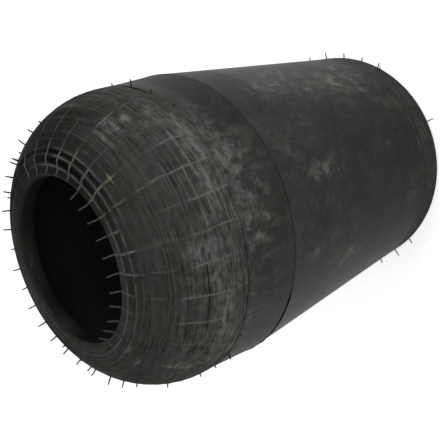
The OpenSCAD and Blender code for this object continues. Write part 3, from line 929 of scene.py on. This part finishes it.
foot_edge = [(FOOT_R - FOOT_CORNER_R - 0.5, 0), (under_cover[-1][0], 0)]
cover_back = plain_part([*foot_edge, *under_cover[::-1]], step=24.0)
cover = turned_piece("sleeve_cover", [[skin_part(skin_rows), cover_back]], sharp=50)

small_lip = skin_part(np.append(np.linspace(outline_s[0], 3.0, 10), JUNCTION_S))
small_seat = with_seat_shade_and_dust(SMALL, plain_part(chafer_back(SMALL), step=1.5))
small_chafer = turned_piece("small_seat_chafer", [[small_lip, small_seat]], sharp=50)

large_junction = round_bead(LARGE, TURNED_T)[FACE_CORNER[LARGE]][0]
lip_arc = arc((LARGE_BORE_R + LIP_R, LIP_R), LIP_R, 270, 180, 10)
large_lip = plain_part([(large_junction, 0), *lip_arc], even_angles, 4.0)
large_seat = with_seat_shade_and_dust(LARGE, plain_part(chafer_back(LARGE)[::-1], even_angles, 1.5))
large_chafer = turned_piece("large_seat_chafer", [[large_lip, large_seat]], sharp=50)

# %% Liner and cord plies
liner = turned_piece("air_liner", [[plain_part(loop, even_angles, 8.0)] for loop in liner_loops])
outer_ply = turned_piece("outer_ply", [[plain_part(loop, even_angles)] for loop in outer_ply_loops])
inner_ply = turned_piece("inner_ply", [[plain_part(loop, even_angles)] for loop in inner_ply_loops])

# %% [markdown]
# ## Hairs of rubber
# Each vent in the mould leaves a hair about 1 mm thick. They stand in five rings on the vent lines:
# one leans in over the bore, two stand on the small end, and one each lies at the shoulder's parting
# line and round the foot. Many have broken off. A particle system would be quick, but its hairs
# aren't part of the mesh, so each ring is one mesh of tubes, with a few faces to a hair.

# %% A tube a hair
HAIR_ROWS, HAIR_SIDES = 4, 6
HAIR_R = 0.66
HAIR_SUNK = 0.6
# A hair is a little thicker at its root and thinner at its tip, and bends by a share of its length
ROOT_SHARE, TAPER_SHARE, BEND_SHARE = 1.1, 0.3, 0.06
HAIR_UNTIDY = 0.06


def vent_hairs(name, seen, plane_angle=None):
    """One tube a row of (line, s, length). Its middle is root + length (t d + bend t^2 q), where d is
    the skin's normal or a direction in the plane of the axis, and q is square to d."""
    lines, s, lengths = np.array(seen, float).T
    count = len(lines)
    angle = FIRST_LINE + 2 * np.pi * lines / SECTORS
    r, z, nr, nz = skin(s)
    if plane_angle is not None:
        nr, nz = np.cos(np.radians(plane_angle)) + 0 * s, np.sin(np.radians(plane_angle)) + 0 * s
    out = np.column_stack([np.cos(angle), np.sin(angle), 0 * angle])
    round_way = np.column_stack([-np.sin(angle), np.cos(angle), 0 * angle])
    up = np.array([0, 0, 1])
    way = out * nr[:, None] + up * nz[:, None] + rng.normal(0, HAIR_UNTIDY, (count, 3))
    way /= np.linalg.norm(way, axis=1)[:, None]
    side = np.cross(way, round_way)
    side /= np.linalg.norm(side, axis=1)[:, None]
    other = np.cross(way, side)
    bend_way = rng.normal(size=(count, 1)) * side + rng.normal(size=(count, 1)) * other
    root = out * r[:, None] + up * z[:, None] - HAIR_SUNK * way
    t = np.linspace(0, 1, HAIR_ROWS + 1)[None, :, None]
    reach = (lengths + HAIR_SUNK)[:, None, None]
    middle = root[:, None] + reach * (t * way[:, None] + BEND_SHARE * t ** 2 * bend_way[:, None])
    turn = 2 * np.pi * np.arange(HAIR_SIDES)[None, None, :, None] / HAIR_SIDES
    radius = HAIR_R * (ROOT_SHARE - TAPER_SHARE * t)[..., None]
    ring = np.cos(turn) * side[:, None, None] + np.sin(turn) * other[:, None, None]
    points = middle[:, :, None] + radius * ring
    mesh = bpy.data.meshes.new(name)
    mesh.from_pydata(points.reshape(-1, 3) * MM, [], hair_faces(count))
    print(f"{name}: {count} hairs")
    return new_piece(name, mesh)


def hair_faces(count):
    """Faces of this many tubes: quads (i, j) as on any grid, and a cap of all sides at each end."""
    base = np.arange(count)[:, None, None] * (HAIR_ROWS + 1) * HAIR_SIDES
    i, j = np.meshgrid(np.arange(HAIR_ROWS), np.arange(HAIR_SIDES), indexing="ij")
    here, there = i * HAIR_SIDES + j, i * HAIR_SIDES + (j + 1) % HAIR_SIDES
    quads = np.stack([here, there, there + HAIR_SIDES, here + HAIR_SIDES], -1).reshape(1, -1, 4) + base
    foot_cap = np.arange(HAIR_SIDES)[::-1] + base[:, 0]
    tip_cap = np.arange(HAIR_SIDES) + HAIR_ROWS * HAIR_SIDES + base[:, 0]
    return quads.reshape(-1, 4).tolist() + foot_cap.tolist() + tip_cap.tolist()


def unseen(lines, s, shortest, longest):
    """Hairs on the lines that the photograph doesn't show, near this s and of any length between
    these two."""
    count = len(lines)
    return list(zip(lines, s + rng.normal(0, 1, count), rng.uniform(shortest, longest, count)))


hair_width = 2 * HAIR_R * (ROOT_SHARE - TAPER_SHARE / 2)
print(f"a hair: {hair_width:.2f} mm across its corners, {HAIR_ROWS * HAIR_SIDES} quads")

# %% The hairs, line by line
# Each hair's vent line, its s and its length in mm. The lip's hairs stand on one circle and all lean
# in over the bore.
LIP_S, LIP_LEAN = 0.8, 125
LIP_LENGTHS = {
    27: 8.0, 26: 8.2, 25: 8.3, 24: 8.4, 23: 8.6, 22: 9.0, 21: 8.3, 20: 8.2, 19: 8.2, 18: 8.4, 17: 7.6,
}
lip_rows = [(line, LIP_S, length) for line, length in LIP_LENGTHS.items()]
lip_hairs = vent_hairs("vent_hairs_lip", lip_rows, LIP_LEAN)
crown_hairs = vent_hairs("vent_hairs_crown", [
    (1, 24, 6.9), (1.05, 29, 5.6), (2, 25, 6.2), (3, 26, 6.0), (3, 19, 2.5), (4, 26, 6.8), (5, 26, 7.0),
    (6, 26, 3.9), (7, 24, 7.0), (8, 20, 4.6), (9, 22, 7.0), (10, 23, 7.4), (11, 22, 6.0), (12, 22, 5.6),
    (12, 16, 2.4), (13, 23, 5.4), (14, 27, 6.4),
])
BROW_S, SHOULDER_HAIR_S, FOOT_HAIR_S = 45.0, 102, 399.0
brow_hairs = vent_hairs("vent_hairs_brow", [
    (0, 45, 4.9), (1, 46, 6.6), (1, 36, 1.9), (0, 57, 2.0), (13, 38, 4.6), (14, 44, 6.6), (15, 43, 5.9),
    (15, 56, 2.6), (16, 70, 3.2), (28.1, 74, 3.5),
    *unseen(range(2, 13), BROW_S, 3, 6.5),
])
shoulder_hairs = vent_hairs("vent_hairs_shoulder", [
    (31, 103, 1.2), (30, 103, 2.2), (29, 103, 5.4), (28, 102, 3.6), (27, 103, 3.0), (19, 102, 2.2),
    (18, 101, 5.2), (17, 102, 2.2), (22, 100, 4.0), (21, 102, 1.5), (25, 102, 1.5),
    *unseen(range(17), SHOULDER_HAIR_S, 2, 5),
])
foot_hairs = vent_hairs("vent_hairs_foot", [
    (31, 402, 7.0), (30, 400, 6.9), (29, 399, 5.4), (28, 397, 5.3), (27.2, 400, 5.6), (27, 396, 4.2),
    (25.95, 386.5, 4.0), (22.96, 384, 3.0), (23.57, 395.5, 1.2), (23.69, 395.5, 1.2),
    (22.5, 396.5, 1.0), (23.84, 404, 7.0), (18, 398, 6.3), (17, 398, 8.3), (16, 399, 8.0),
    *unseen(range(16), FOOT_HAIR_S, 4, 7),
])

# %% [markdown]
# ## Cured rubber
# The cover is black rubber, filled with carbon and cured against a machined steel mould. It is
# satin, not glossy, and the mould's talc stays on it: as fine rings over the shoulder, where the
# dust catches on the scribed lines, and as soft smears along the body. A picture could show that,
# but procedural noise, stretched along the unrolled skin, follows the curve without a seam.
# The unrolled coordinate is (R cos a, R sin a, s) in millimetres: it closes round the axis, and its
# third number is the length along the outline.

# %% Colour and noise helpers
# Rubber, nylon and talc bend light about this much, and it is the default that a metal keeps
IOR = 1.5
NOISE_SCALE, NOISE_ROUGHNESS = 1.0, 0.6
CURL_DETAIL, CURL_ROUGHNESS, CURL_WARP = 3.0, 0.5, 1.4
# Each pattern of the rubber and its talc: its grains in mm round the axis and along the skin, its
# detail, and the values that are spread from 0 to 1. Real talc is far finer than 0.8 mm, and so is
# the rubber's own grain, so both are drawn as coarse as they need to be to show.
PATTERNS = {
    "chalk": (1.2, 1.2, 2.0, 0.42, 0.6),
    "torn edge": (9, 8, 3.0, 0.36, 0.64),
    "smudges": (9, 12, 3.5, 0.48, 0.62),
    "flecks": (2.4, 3.0, 4.0, 0.5, 0.68),
    "ragged": (6, 5, 6.0, 0.4, 0.62),
    "specks": (1.6, 1.6, 2.0, 0.62, 0.74),
    "streaks": (24, 1.3, 2.0, 0.3, 0.7),
    "blotches": (8, 5, 5.0, 0.3, 0.7),
    "broken": (2.0, 2.0, 4.0, 0.34, 0.62),
    "folds": (22, 0.9, 3.0, 0.56, 0.66),
    "tone": (30, 44, 3.0, 0.3, 0.7),
    "warmth": (20, 14, 3.0, 0.42, 0.58),
    "grain": (0.8, 0.8, 3.0, 0.35, 0.65),
    "inner dust": (22, 30, 5.0, 0.35, 0.65),
}


def linear(code):
    """An sRGB hex colour as linear red, green, blue and 1."""
    part = np.array([int(code[i:i + 2], 16) for i in (1, 3, 5)]) / 255
    straight = np.where(part <= 0.04045, part / 12.92, ((part + 0.055) / 1.055) ** 2.4)
    return (*straight.tolist(), 1.0)


def new_finish(name, roughness, gloss=0.5, metallic=0.0):
    """A material with its node tree and its main shader, set to these values."""
    material = bpy.data.materials.new(name)
    material.use_nodes = True
    tree = material.node_tree
    shader = tree.nodes["Principled BSDF"]
    fill(shader, {"IOR": IOR, "Specular IOR Level": gloss, "Roughness": roughness, "Metallic": metallic})
    return material, tree, shader


def grains(tree, place, round_mm, along_mm):
    """The place counted in grains this long round the axis and along the skin."""
    return add_node(tree, "scaled", place, (1 / round_mm, 1 / round_mm, 1 / along_mm))


def stretched_noise(tree, place, round_mm, along_mm, detail=4.0, low=0.35, high=0.65):
    """Noise with grains this long round the axis and along the skin, spread from 0 to 1."""
    scaled = grains(tree, place, round_mm, along_mm)
    noise = add_node(tree, "noise", scaled, NOISE_SCALE, detail, NOISE_ROUGHNESS)
    return add_node(tree, "ramp", noise, low, high)


def curls(tree, place, round_mm, along_mm, width):
    """Thin curled strokes: the lines where warped noise passes its middle value, this wide in its
    own units."""
    scaled = grains(tree, place, round_mm, along_mm)
    noise = add_node(tree, "noise", scaled, NOISE_SCALE, CURL_DETAIL, CURL_ROUGHNESS, CURL_WARP)
    away = add_node(tree, "free size", add_node(tree, "free less", noise, 0.5))
    return add_node(tree, "ramp", away, 0.0, width, 1.0, 0.0)


def chalk_spot(tree, place, azimuth, s, reach_mm):
    """A ragged spot at this azimuth and length on the skin, 1 in its middle and 0 at its reach."""
    middle = (ROUND_R * np.cos(np.radians(azimuth)), ROUND_R * np.sin(np.radians(azimuth)), s)
    away = add_node(tree, "distance", place, middle)
    near = add_node(tree, "ramp", away, 0.0, reach_mm, 1.0, 0.0)
    return add_node(tree, "times", near, stretched_noise(tree, place, *PATTERNS["chalk"]))


print(f"the tone #808080 gives back {linear('#808080')[0]:.0%} of the light")

# %% [markdown]
# ### Talc on the skin
# Talc lies in two ways. Over the scribed shoulder it keeps to the fine rings, and past the parting
# line a ragged edge of it spills onto the body. On the body it is wiped into curled strokes and
# smudges. Each way is a pattern of its own, mixed by how much of the mould is scribed there.

# %% Where the skin is scribed, and the talc on it
# From one side the shoulder's talc runs past the parting line, by up to so many mm: this vector's
# product with a place is 1 in the middle of that side
TALC_AZIMUTH = np.radians(286)
TALC_SIDE = (np.cos(TALC_AZIMUTH) / ROUND_R, np.sin(TALC_AZIMUTH) / ROUND_R, 0.0)
TALC_SPILL, LEAST_SPILL = 16.0, 4.0


def skin_values(tree):
    """What a finish reads at each point: its unrolled place, its s, and its light, dark and dust."""
    place = add_node(tree, "attribute", attribute_name=UNROLLED)
    marks = add_node(tree, "attribute", attribute_name=MARKS)
    return place, add_node(tree, "three parts", place)["Z"], *add_node(tree, "three parts", marks)


def scribed_area(tree, place, s, side, lined):
    """Where the mould is scribed, 0 to 1: the shoulder, to a torn edge past its parting line, and
    weakly the foot."""
    spill = add_node(tree, "ramp", side, 0.84, 0.95, LEAST_SPILL, TALC_SPILL)
    torn = stretched_noise(tree, place, *PATTERNS["torn edge"])
    end = add_node(tree, "free times", spill, torn)
    past_end = add_node(tree, "free less", add_node(tree, "free less", s, SHOULDER_S), end)
    on_shoulder = add_node(tree, "ramp", past_end, -3.0, 4.0, lined, 0.0)
    on_foot = add_node(tree, "ramp", s, 366.0, 376.0, 0.0, 0.3 * lined)
    return add_node(tree, "plus", on_shoulder, on_foot)


def body_talc(tree, place, dust):
    """Curled strokes, smudges and flecks, times the dust."""
    smudges = stretched_noise(tree, place, *PATTERNS["smudges"])
    flecks = stretched_noise(tree, place, *PATTERNS["flecks"])
    strokes = curls(tree, place, 9, 15, 0.05)
    strokes = add_node(tree, "times", strokes, add_node(tree, "times plus", smudges, 0.6, 0.4))
    scuffs = add_node(tree, "times plus", strokes, 0.45, add_node(tree, "times", smudges, 0.35))
    scuffs = add_node(tree, "times plus", add_node(tree, "times", flecks, smudges), 0.3, scuffs)
    amount = add_node(tree, "times plus", dust, 0.62, 0.066)
    return add_node(tree, "times", add_node(tree, "plus", scuffs, 0.12), amount)


def shoulder_talc(tree, place, s, dust, streaks, blotches):
    """Fine rings and blotches, which show less towards the lip, times twice the patchy dust, and
    specks on top."""
    pattern = add_node(tree, "times plus", blotches, 0.45, 0.02)
    pattern = add_node(tree, "times plus", streaks, 0.5, pattern)
    worn = add_node(tree, "ramp", s, 34.0, 58.0, 0.45, 1.0)
    pattern = add_node(tree, "mix", worn, 0.5, pattern)
    ragged = stretched_noise(tree, place, *PATTERNS["ragged"])
    patchy = add_node(tree, "times plus", ragged, 0.85, 0.15)
    level = add_node(tree, "times plus", add_node(tree, "times", dust, patchy), 0.62, 0.15)
    talc = add_node(tree, "times", pattern, add_node(tree, "plus", level, level))
    specks = stretched_noise(tree, place, *PATTERNS["specks"])
    return add_node(tree, "times plus", specks, 0.2, talc)


print(f"talc spills {LEAST_SPILL:.0f} to {TALC_SPILL:.0f} mm past the parting line")

# %% [markdown]
# ### The skin's colour and sheen
# Under its talc the rubber is one black with a little grey in it. Everything else is laid over it in
# the order in which it came: talc, then the dark of cracks, folds, parting lines, darker bands and
# wiped seats, which is mostly painted shade, then the pale crests of the raised lines with a painted
# highlight, and last a touch of yellow chalk and a brown smear of clay.

# %% Colours, gloss and roughness of the skin
RUBBER_BLACK = linear("#0f110e")
RUBBER_GREY = linear("#1e201c")
TALC_GREY = linear("#747472")
# Talc that took up some of the mould's oil
TALC_OLIVE = linear("#737469")
# Crests stretch as they leave the groove, and pale; this grey also paints a highlight on them
CREST_AND_HIGHLIGHT_GREY = linear("#6a6a64")
# The black of painted shade in cracks, folds, parting lines and seats, and of the darker bands
DARK_AND_SHADE_BLACK = linear("#030303")
YELLOW_CHALK = linear("#8c8853")
CLAY_BROWN = linear("#77685b")
# Azimuth, s and reach of the two marks
CHALK_MARK, CLAY_MARK = (297, 28, 4.0), (288, 364, 14.0)
# Carbon black and a rough mould leave little mirror in the rubber, but the band between the
# parting lines was polished better, and talc halves what is left
RUBBER_GLOSS, BAND_GLOSS, TALC_GLOSS = 0.07, 0.105, 0.5
BODY_ROUGHNESS, BAND_ROUGHNESS = 0.46, 0.54
# The most that the grain and the fine rings stand out, in mm
SKIN_BUMP = 0.22
print(f"gloss: body {RUBBER_GLOSS}, band {BAND_GLOSS}")

# %% How they are laid over each other
def skin_dark(tree, place, side, dark, scribed, broken):
    """The marks' painted shade, a little broken up, or the painted shade of the scribed area's thin folds.
    """
    dark = add_node(tree, "times", dark, add_node(tree, "times plus", broken, 0.25, 0.8))
    folds = stretched_noise(tree, place, *PATTERNS["folds"])
    # The folds' painted shade is stronger away from the middle of the talc side
    fold_shade_by_side = add_node(tree, "ramp", side, 0.55, 1.0, 0.75, 0.5)
    folds = add_node(tree, "times", folds, add_node(tree, "times", scribed, fold_shade_by_side))
    return add_node(tree, "larger", dark, folds)


def skin_colour(tree, place, s, light, dark, talc, broken):
    """Rubber, talc, dark places with painted shade, raised lines with a painted highlight and the two
    marks, each laid over the last.
    """
    tone = stretched_noise(tree, place, *PATTERNS["tone"])
    greyer = add_node(tree, "times", tone, add_node(tree, "ramp", s, 180.0, 370.0, 1.0, 0.25))
    warm = stretched_noise(tree, place, *PATTERNS["warmth"])
    powder = add_node(tree, "colour mix", warm, TALC_GREY, TALC_OLIVE)
    # Raised lines are painted pale, partly as a painted highlight
    pale_and_highlit_crests = add_node(tree, "times", light, add_node(tree, "times plus", broken, 0.8, 0.15))
    caught = add_node(tree, "times plus", light, 1.6, 0.1)
    on_mark = add_node(tree, "times", chalk_spot(tree, place, *CHALK_MARK), caught)
    smeared = add_node(tree, "times", chalk_spot(tree, place, *CLAY_MARK), 0.3)
    colour = add_node(tree, "colour mix", greyer, RUBBER_BLACK, RUBBER_GREY)
    for amount, over in ((talc, powder), (dark, DARK_AND_SHADE_BLACK), (pale_and_highlit_crests, CREST_AND_HIGHLIGHT_GREY),
                         (on_mark, YELLOW_CHALK), (smeared, CLAY_BROWN)):
        colour = add_node(tree, "colour mix", amount, colour, over)
    return colour


def skin_roughness(tree, s, scribed, talc):
    """Smoother on the body than on the band above it, and rougher where it is scribed or dusty."""
    satin = add_node(tree, "ramp", s, BELT_S - 2, BELT_S + 4, BAND_ROUGHNESS, BODY_ROUGHNESS)
    return add_node(tree, "times plus", talc, 0.25, add_node(tree, "times plus", scribed, 0.3, satin))


def skin_mirror(tree, s, scribed, dark):
    """The band's and the body's gloss, less towards the foot and under talc, and none in the dark."""
    duller = add_node(tree, "ramp", s, 200.0, 360.0, 1.0, 0.5)
    shinier = add_node(tree, "ramp", s, 148.0, 190.0, BAND_GLOSS, RUBBER_GLOSS)
    chalked = add_node(tree, "times plus", scribed, TALC_GLOSS * RUBBER_GLOSS / BAND_GLOSS - 1.0, 1.0)
    mirror = add_node(tree, "times", add_node(tree, "times", duller, shinier), chalked)
    return add_node(tree, "times", mirror, add_node(tree, "less", 1.0, dark))


def skin_bump(tree, place, scribed, streaks, blotches):
    """Fine grain everywhere, and the rings and blotches where the mould is scribed."""
    grain = stretched_noise(tree, place, *PATTERNS["grain"])
    ridges = add_node(tree, "times", add_node(tree, "times plus", blotches, 0.3, streaks), scribed)
    height = add_node(tree, "times plus", grain, 0.12, add_node(tree, "times", ridges, 0.8))
    return add_node(tree, "bump", height, SKIN_BUMP * MM, 1.0)


print("laid over the rubber: talc, dark places, bare crests, chalk, clay")

# %% The cover's rubber
def moulded_rubber(name, dusty=1.0, lined=1.0):
    """Black rubber with talc: streaks and blotches on the scribed shoulder, curled smudges on the
    body. Marks from the mesh make raised lines lighter, partly with a painted highlight, and paint
    shade into cracks, parting lines and the darker bands."""
    material, tree, shader = new_finish(name, BODY_ROUGHNESS, RUBBER_GLOSS)
    place, s, light, dark, dust = skin_values(tree)
    side = add_node(tree, "dot product", place, TALC_SIDE)
    scribed = scribed_area(tree, place, s, side, lined)
    streaks = stretched_noise(tree, place, *PATTERNS["streaks"])
    blotches = stretched_noise(tree, place, *PATTERNS["blotches"])
    broken = stretched_noise(tree, place, *PATTERNS["broken"])
    on_shoulder = shoulder_talc(tree, place, s, dust, streaks, blotches)
    talc = add_node(tree, "mix", scribed, body_talc(tree, place, dust), on_shoulder)
    talc = add_node(tree, "times", talc, dusty)
    dark = skin_dark(tree, place, side, dark, scribed, broken)
    fill(shader, {
        "Base Color": skin_colour(tree, place, s, light, dark, talc, broken),
        "Roughness": skin_roughness(tree, s, scribed, talc),
        "Specular IOR Level": skin_mirror(tree, s, scribed, dark),
        "Normal": skin_bump(tree, place, scribed, streaks, blotches),
    })
    return material


# Satin black rubber as it came out of a machined mould, grey with talc and pale on its lines, partly
# with a painted highlight
cover_rubber = moulded_rubber("moulded_black_rubber")
# The same rubber on a smooth core of the mould, with less talc and hardly any rings
chafer_rubber = moulded_rubber("smooth_seat_rubber", dusty=0.5, lined=0.6)
print("rubber finishes:", cover_rubber.name, chafer_rubber.name)

# %% [markdown]
# ## What lies inside
# The liner is a soft rubber that holds air. The cords of the inner ply print through it as faint
# diagonal lines. The plies are rubberised nylon cord, the fabric tape is dipped nylon, and the bead
# wires are steel with a thin bronze coat, which makes rubber stick. Cords are a sine of
# n a + 2 pi s / pitch, where the whole number n of cords makes the pattern close round the axis.

# %% Liner and plies
CORD_PITCH = 1.3
CORD_BIAS = np.radians(57)


def cord_waves(tree, place, lean):
    """Waves of cords that climb the wall on the bias: sine of (n a + 2 pi s / rise), from 0 to 1."""
    count = round(2 * np.pi * ROUND_R * np.cos(CORD_BIAS) / CORD_PITCH)
    x, y, s = add_node(tree, "three parts", place)
    turn = add_node(tree, "free angle", y, x)
    climb = add_node(tree, "free times", s, lean * 2 * np.pi * np.sin(CORD_BIAS) / CORD_PITCH)
    phase = add_node(tree, "free times plus", turn, float(count), climb)
    return add_node(tree, "ramp", add_node(tree, "free sine", phase), -1.0, 1.0)


def corded(name, low, high, lean, depth, roughness, dusty=0.3):
    """A layer with cords: the low colour between them, the high one on them, a bump of that depth in
    mm, and smudges of talc."""
    material, tree, shader = new_finish(name, roughness, RUBBER_GLOSS)
    place = add_node(tree, "attribute", attribute_name=UNROLLED)
    waves = cord_waves(tree, place, lean)
    smudge = stretched_noise(tree, place, *PATTERNS["inner dust"])
    smudge = add_node(tree, "times", smudge, dusty)
    colour = add_node(tree, "colour mix", waves, linear(low), linear(high))
    fill(shader, {
        "Base Color": add_node(tree, "colour mix", smudge, colour, TALC_GREY),
        "Normal": add_node(tree, "bump", waves, depth * MM, 1.0),
    })
    return material


# Black liner rubber, dull with talc, with the cords' faint print
liner_rubber = corded("talcked_liner_rubber", "#1f2422", "#252a28", 1, 0.04, 0.85, 0.03)
# Undyed nylon cords that show straw-coloured through their thin rubber, laid to the right and left
nylon_out = corded("rubberised_nylon_cord_right", "#2a2925", "#7d775f", 1, 0.25, 0.75)
nylon_back = corded("rubberised_nylon_cord_left", "#2a2925", "#7d775f", -1, 0.25, 0.75)
print("cords", CORD_PITCH, "mm apart, at", round(np.degrees(CORD_BIAS)), "degrees")

# %% Hairs, wire, tape and the beads' rubber
def solid_finish(name, low, high, size_mm, roughness, gloss=0.3, metallic=0.0):
    """A plain finish for a solid of the model: two tones mixed by noise of this grain, in object
    coordinates, and a roughness and a fine bump that go with them."""
    material, tree, shader = new_finish(name, roughness, gloss, metallic)
    place = add_node(tree, "object place")
    tone = stretched_noise(tree, place, size_mm * MM, size_mm * MM, 5.0)
    fill(shader, {
        "Base Color": add_node(tree, "colour mix", tone, linear(low), linear(high)),
        "Roughness": add_node(tree, "ramp", tone, 0.0, 1.0, roughness - 0.06, roughness + 0.08),
        "Normal": add_node(tree, "bump", tone, 0.05 * MM, 0.6),
    })
    return material


def woven_tape(name, low, high, thread_mm):
    """Square-woven tape: one sine a thread along Z times one round the axis, so that warp and weft
    lie on top by turns."""
    material, tree, shader = new_finish(name, 0.85)
    x, y, z = add_node(tree, "three parts", add_node(tree, "object place"))
    threads = round(2 * np.pi * BORE_R[SMALL] / thread_mm)
    across = add_node(tree, "free times", add_node(tree, "free angle", y, x), float(threads))
    along = add_node(tree, "free times", z, 2 * np.pi / (thread_mm * MM))
    weave = add_node(tree, "free times", *(add_node(tree, "free sine", wave) for wave in (across, along)))
    weave = add_node(tree, "ramp", weave, -1.0, 1.0)
    fill(shader, {
        "Base Color": add_node(tree, "colour mix", weave, linear(low), linear(high)),
        "Normal": add_node(tree, "bump", weave, 0.2 * MM, 1.0),
    })
    return material


# A hair is stretched as it leaves its vent, which greys it
hair_rubber = solid_finish("cured_rubber_hair", "#20211f", "#393a36", 2.0, 0.6, 0.25)
# Drawn steel wire, bright and yellow from its coat
bronze_wire = solid_finish("bronze_coated_steel_wire", "#a07c46", "#c49a5c", 0.8, 0.32, 0.5, 1.0)
# Two hard, dull mixes, the filler's a little greyer
bead_rubber = solid_finish("hard_bead_rubber", "#1c1c1b", "#2b2a28", 4.0, 0.6)
filler_rubber = solid_finish("bead_filler_rubber", "#20201f", "#302f2c", 6.0, 0.65)
# Straw-coloured tape, whose weave shows through the dip
bead_tape = woven_tape("dipped_nylon_tape", "#4b4737", "#a59b7a", 0.9)
print("solid finishes:", hair_rubber.name, bronze_wire.name, bead_rubber.name, filler_rubber.name)

# %% [markdown]
# ## Riding and standing in
# The small bead slides along the axis against the large one, and the wall between them gives.
# Everything near a bead is stiff and rides on its body. The four layers of the wall are baked in
# place, and the model's own layers that they stand in for are hidden.

# %% Every piece gets its finish, and a stiff one its body
WALL_LAYERS = (
    (cover, "outer_cover", "cover_rubber", cover_rubber),
    (liner, "inner_liner", "liner_rubber", liner_rubber),
    (outer_ply, "outer_cord_ply", "cord_ply", nylon_out),
    (inner_ply, "inner_cord_ply", "cord_ply", nylon_back),
)
for piece, node, slot, finish in WALL_LAYERS:
    piece.data.materials.append(finish)
    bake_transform(piece)
    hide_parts(node)

shoulder_hairs.data.materials.append(hair_rubber)
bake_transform(shoulder_hairs)
STIFF_PIECES = (
    (small_chafer, "small_end", "chafer_rubber", chafer_rubber),
    (large_chafer, "sleeve", "chafer_rubber", chafer_rubber),
    (lip_hairs, "small_end", "cover_rubber", hair_rubber),
    (crown_hairs, "small_end", "cover_rubber", hair_rubber),
    (brow_hairs, "small_end", "cover_rubber", hair_rubber),
    (foot_hairs, "sleeve", "cover_rubber", hair_rubber),
)
for piece, body, slot, finish in STIFF_PIECES:
    piece.data.materials.append(finish)
    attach(piece, body)
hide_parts("small_bead_chafer")
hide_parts("large_bead_chafer")

BEAD_FINISHES = {"wires": bronze_wire, "insulation": bead_rubber, "wrap": bead_tape, "filler": filler_rubber}
for end in ("small_bead_", "large_bead_"):
    for part, finish in BEAD_FINISHES.items():
        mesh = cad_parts[end + part].data
        mesh.materials.clear()
        mesh.materials.append(finish)
print("dressed pieces:", len(WALL_LAYERS) + 1 + len(STIFF_PIECES), "and bead parts:", 2 * len(BEAD_FINISHES))
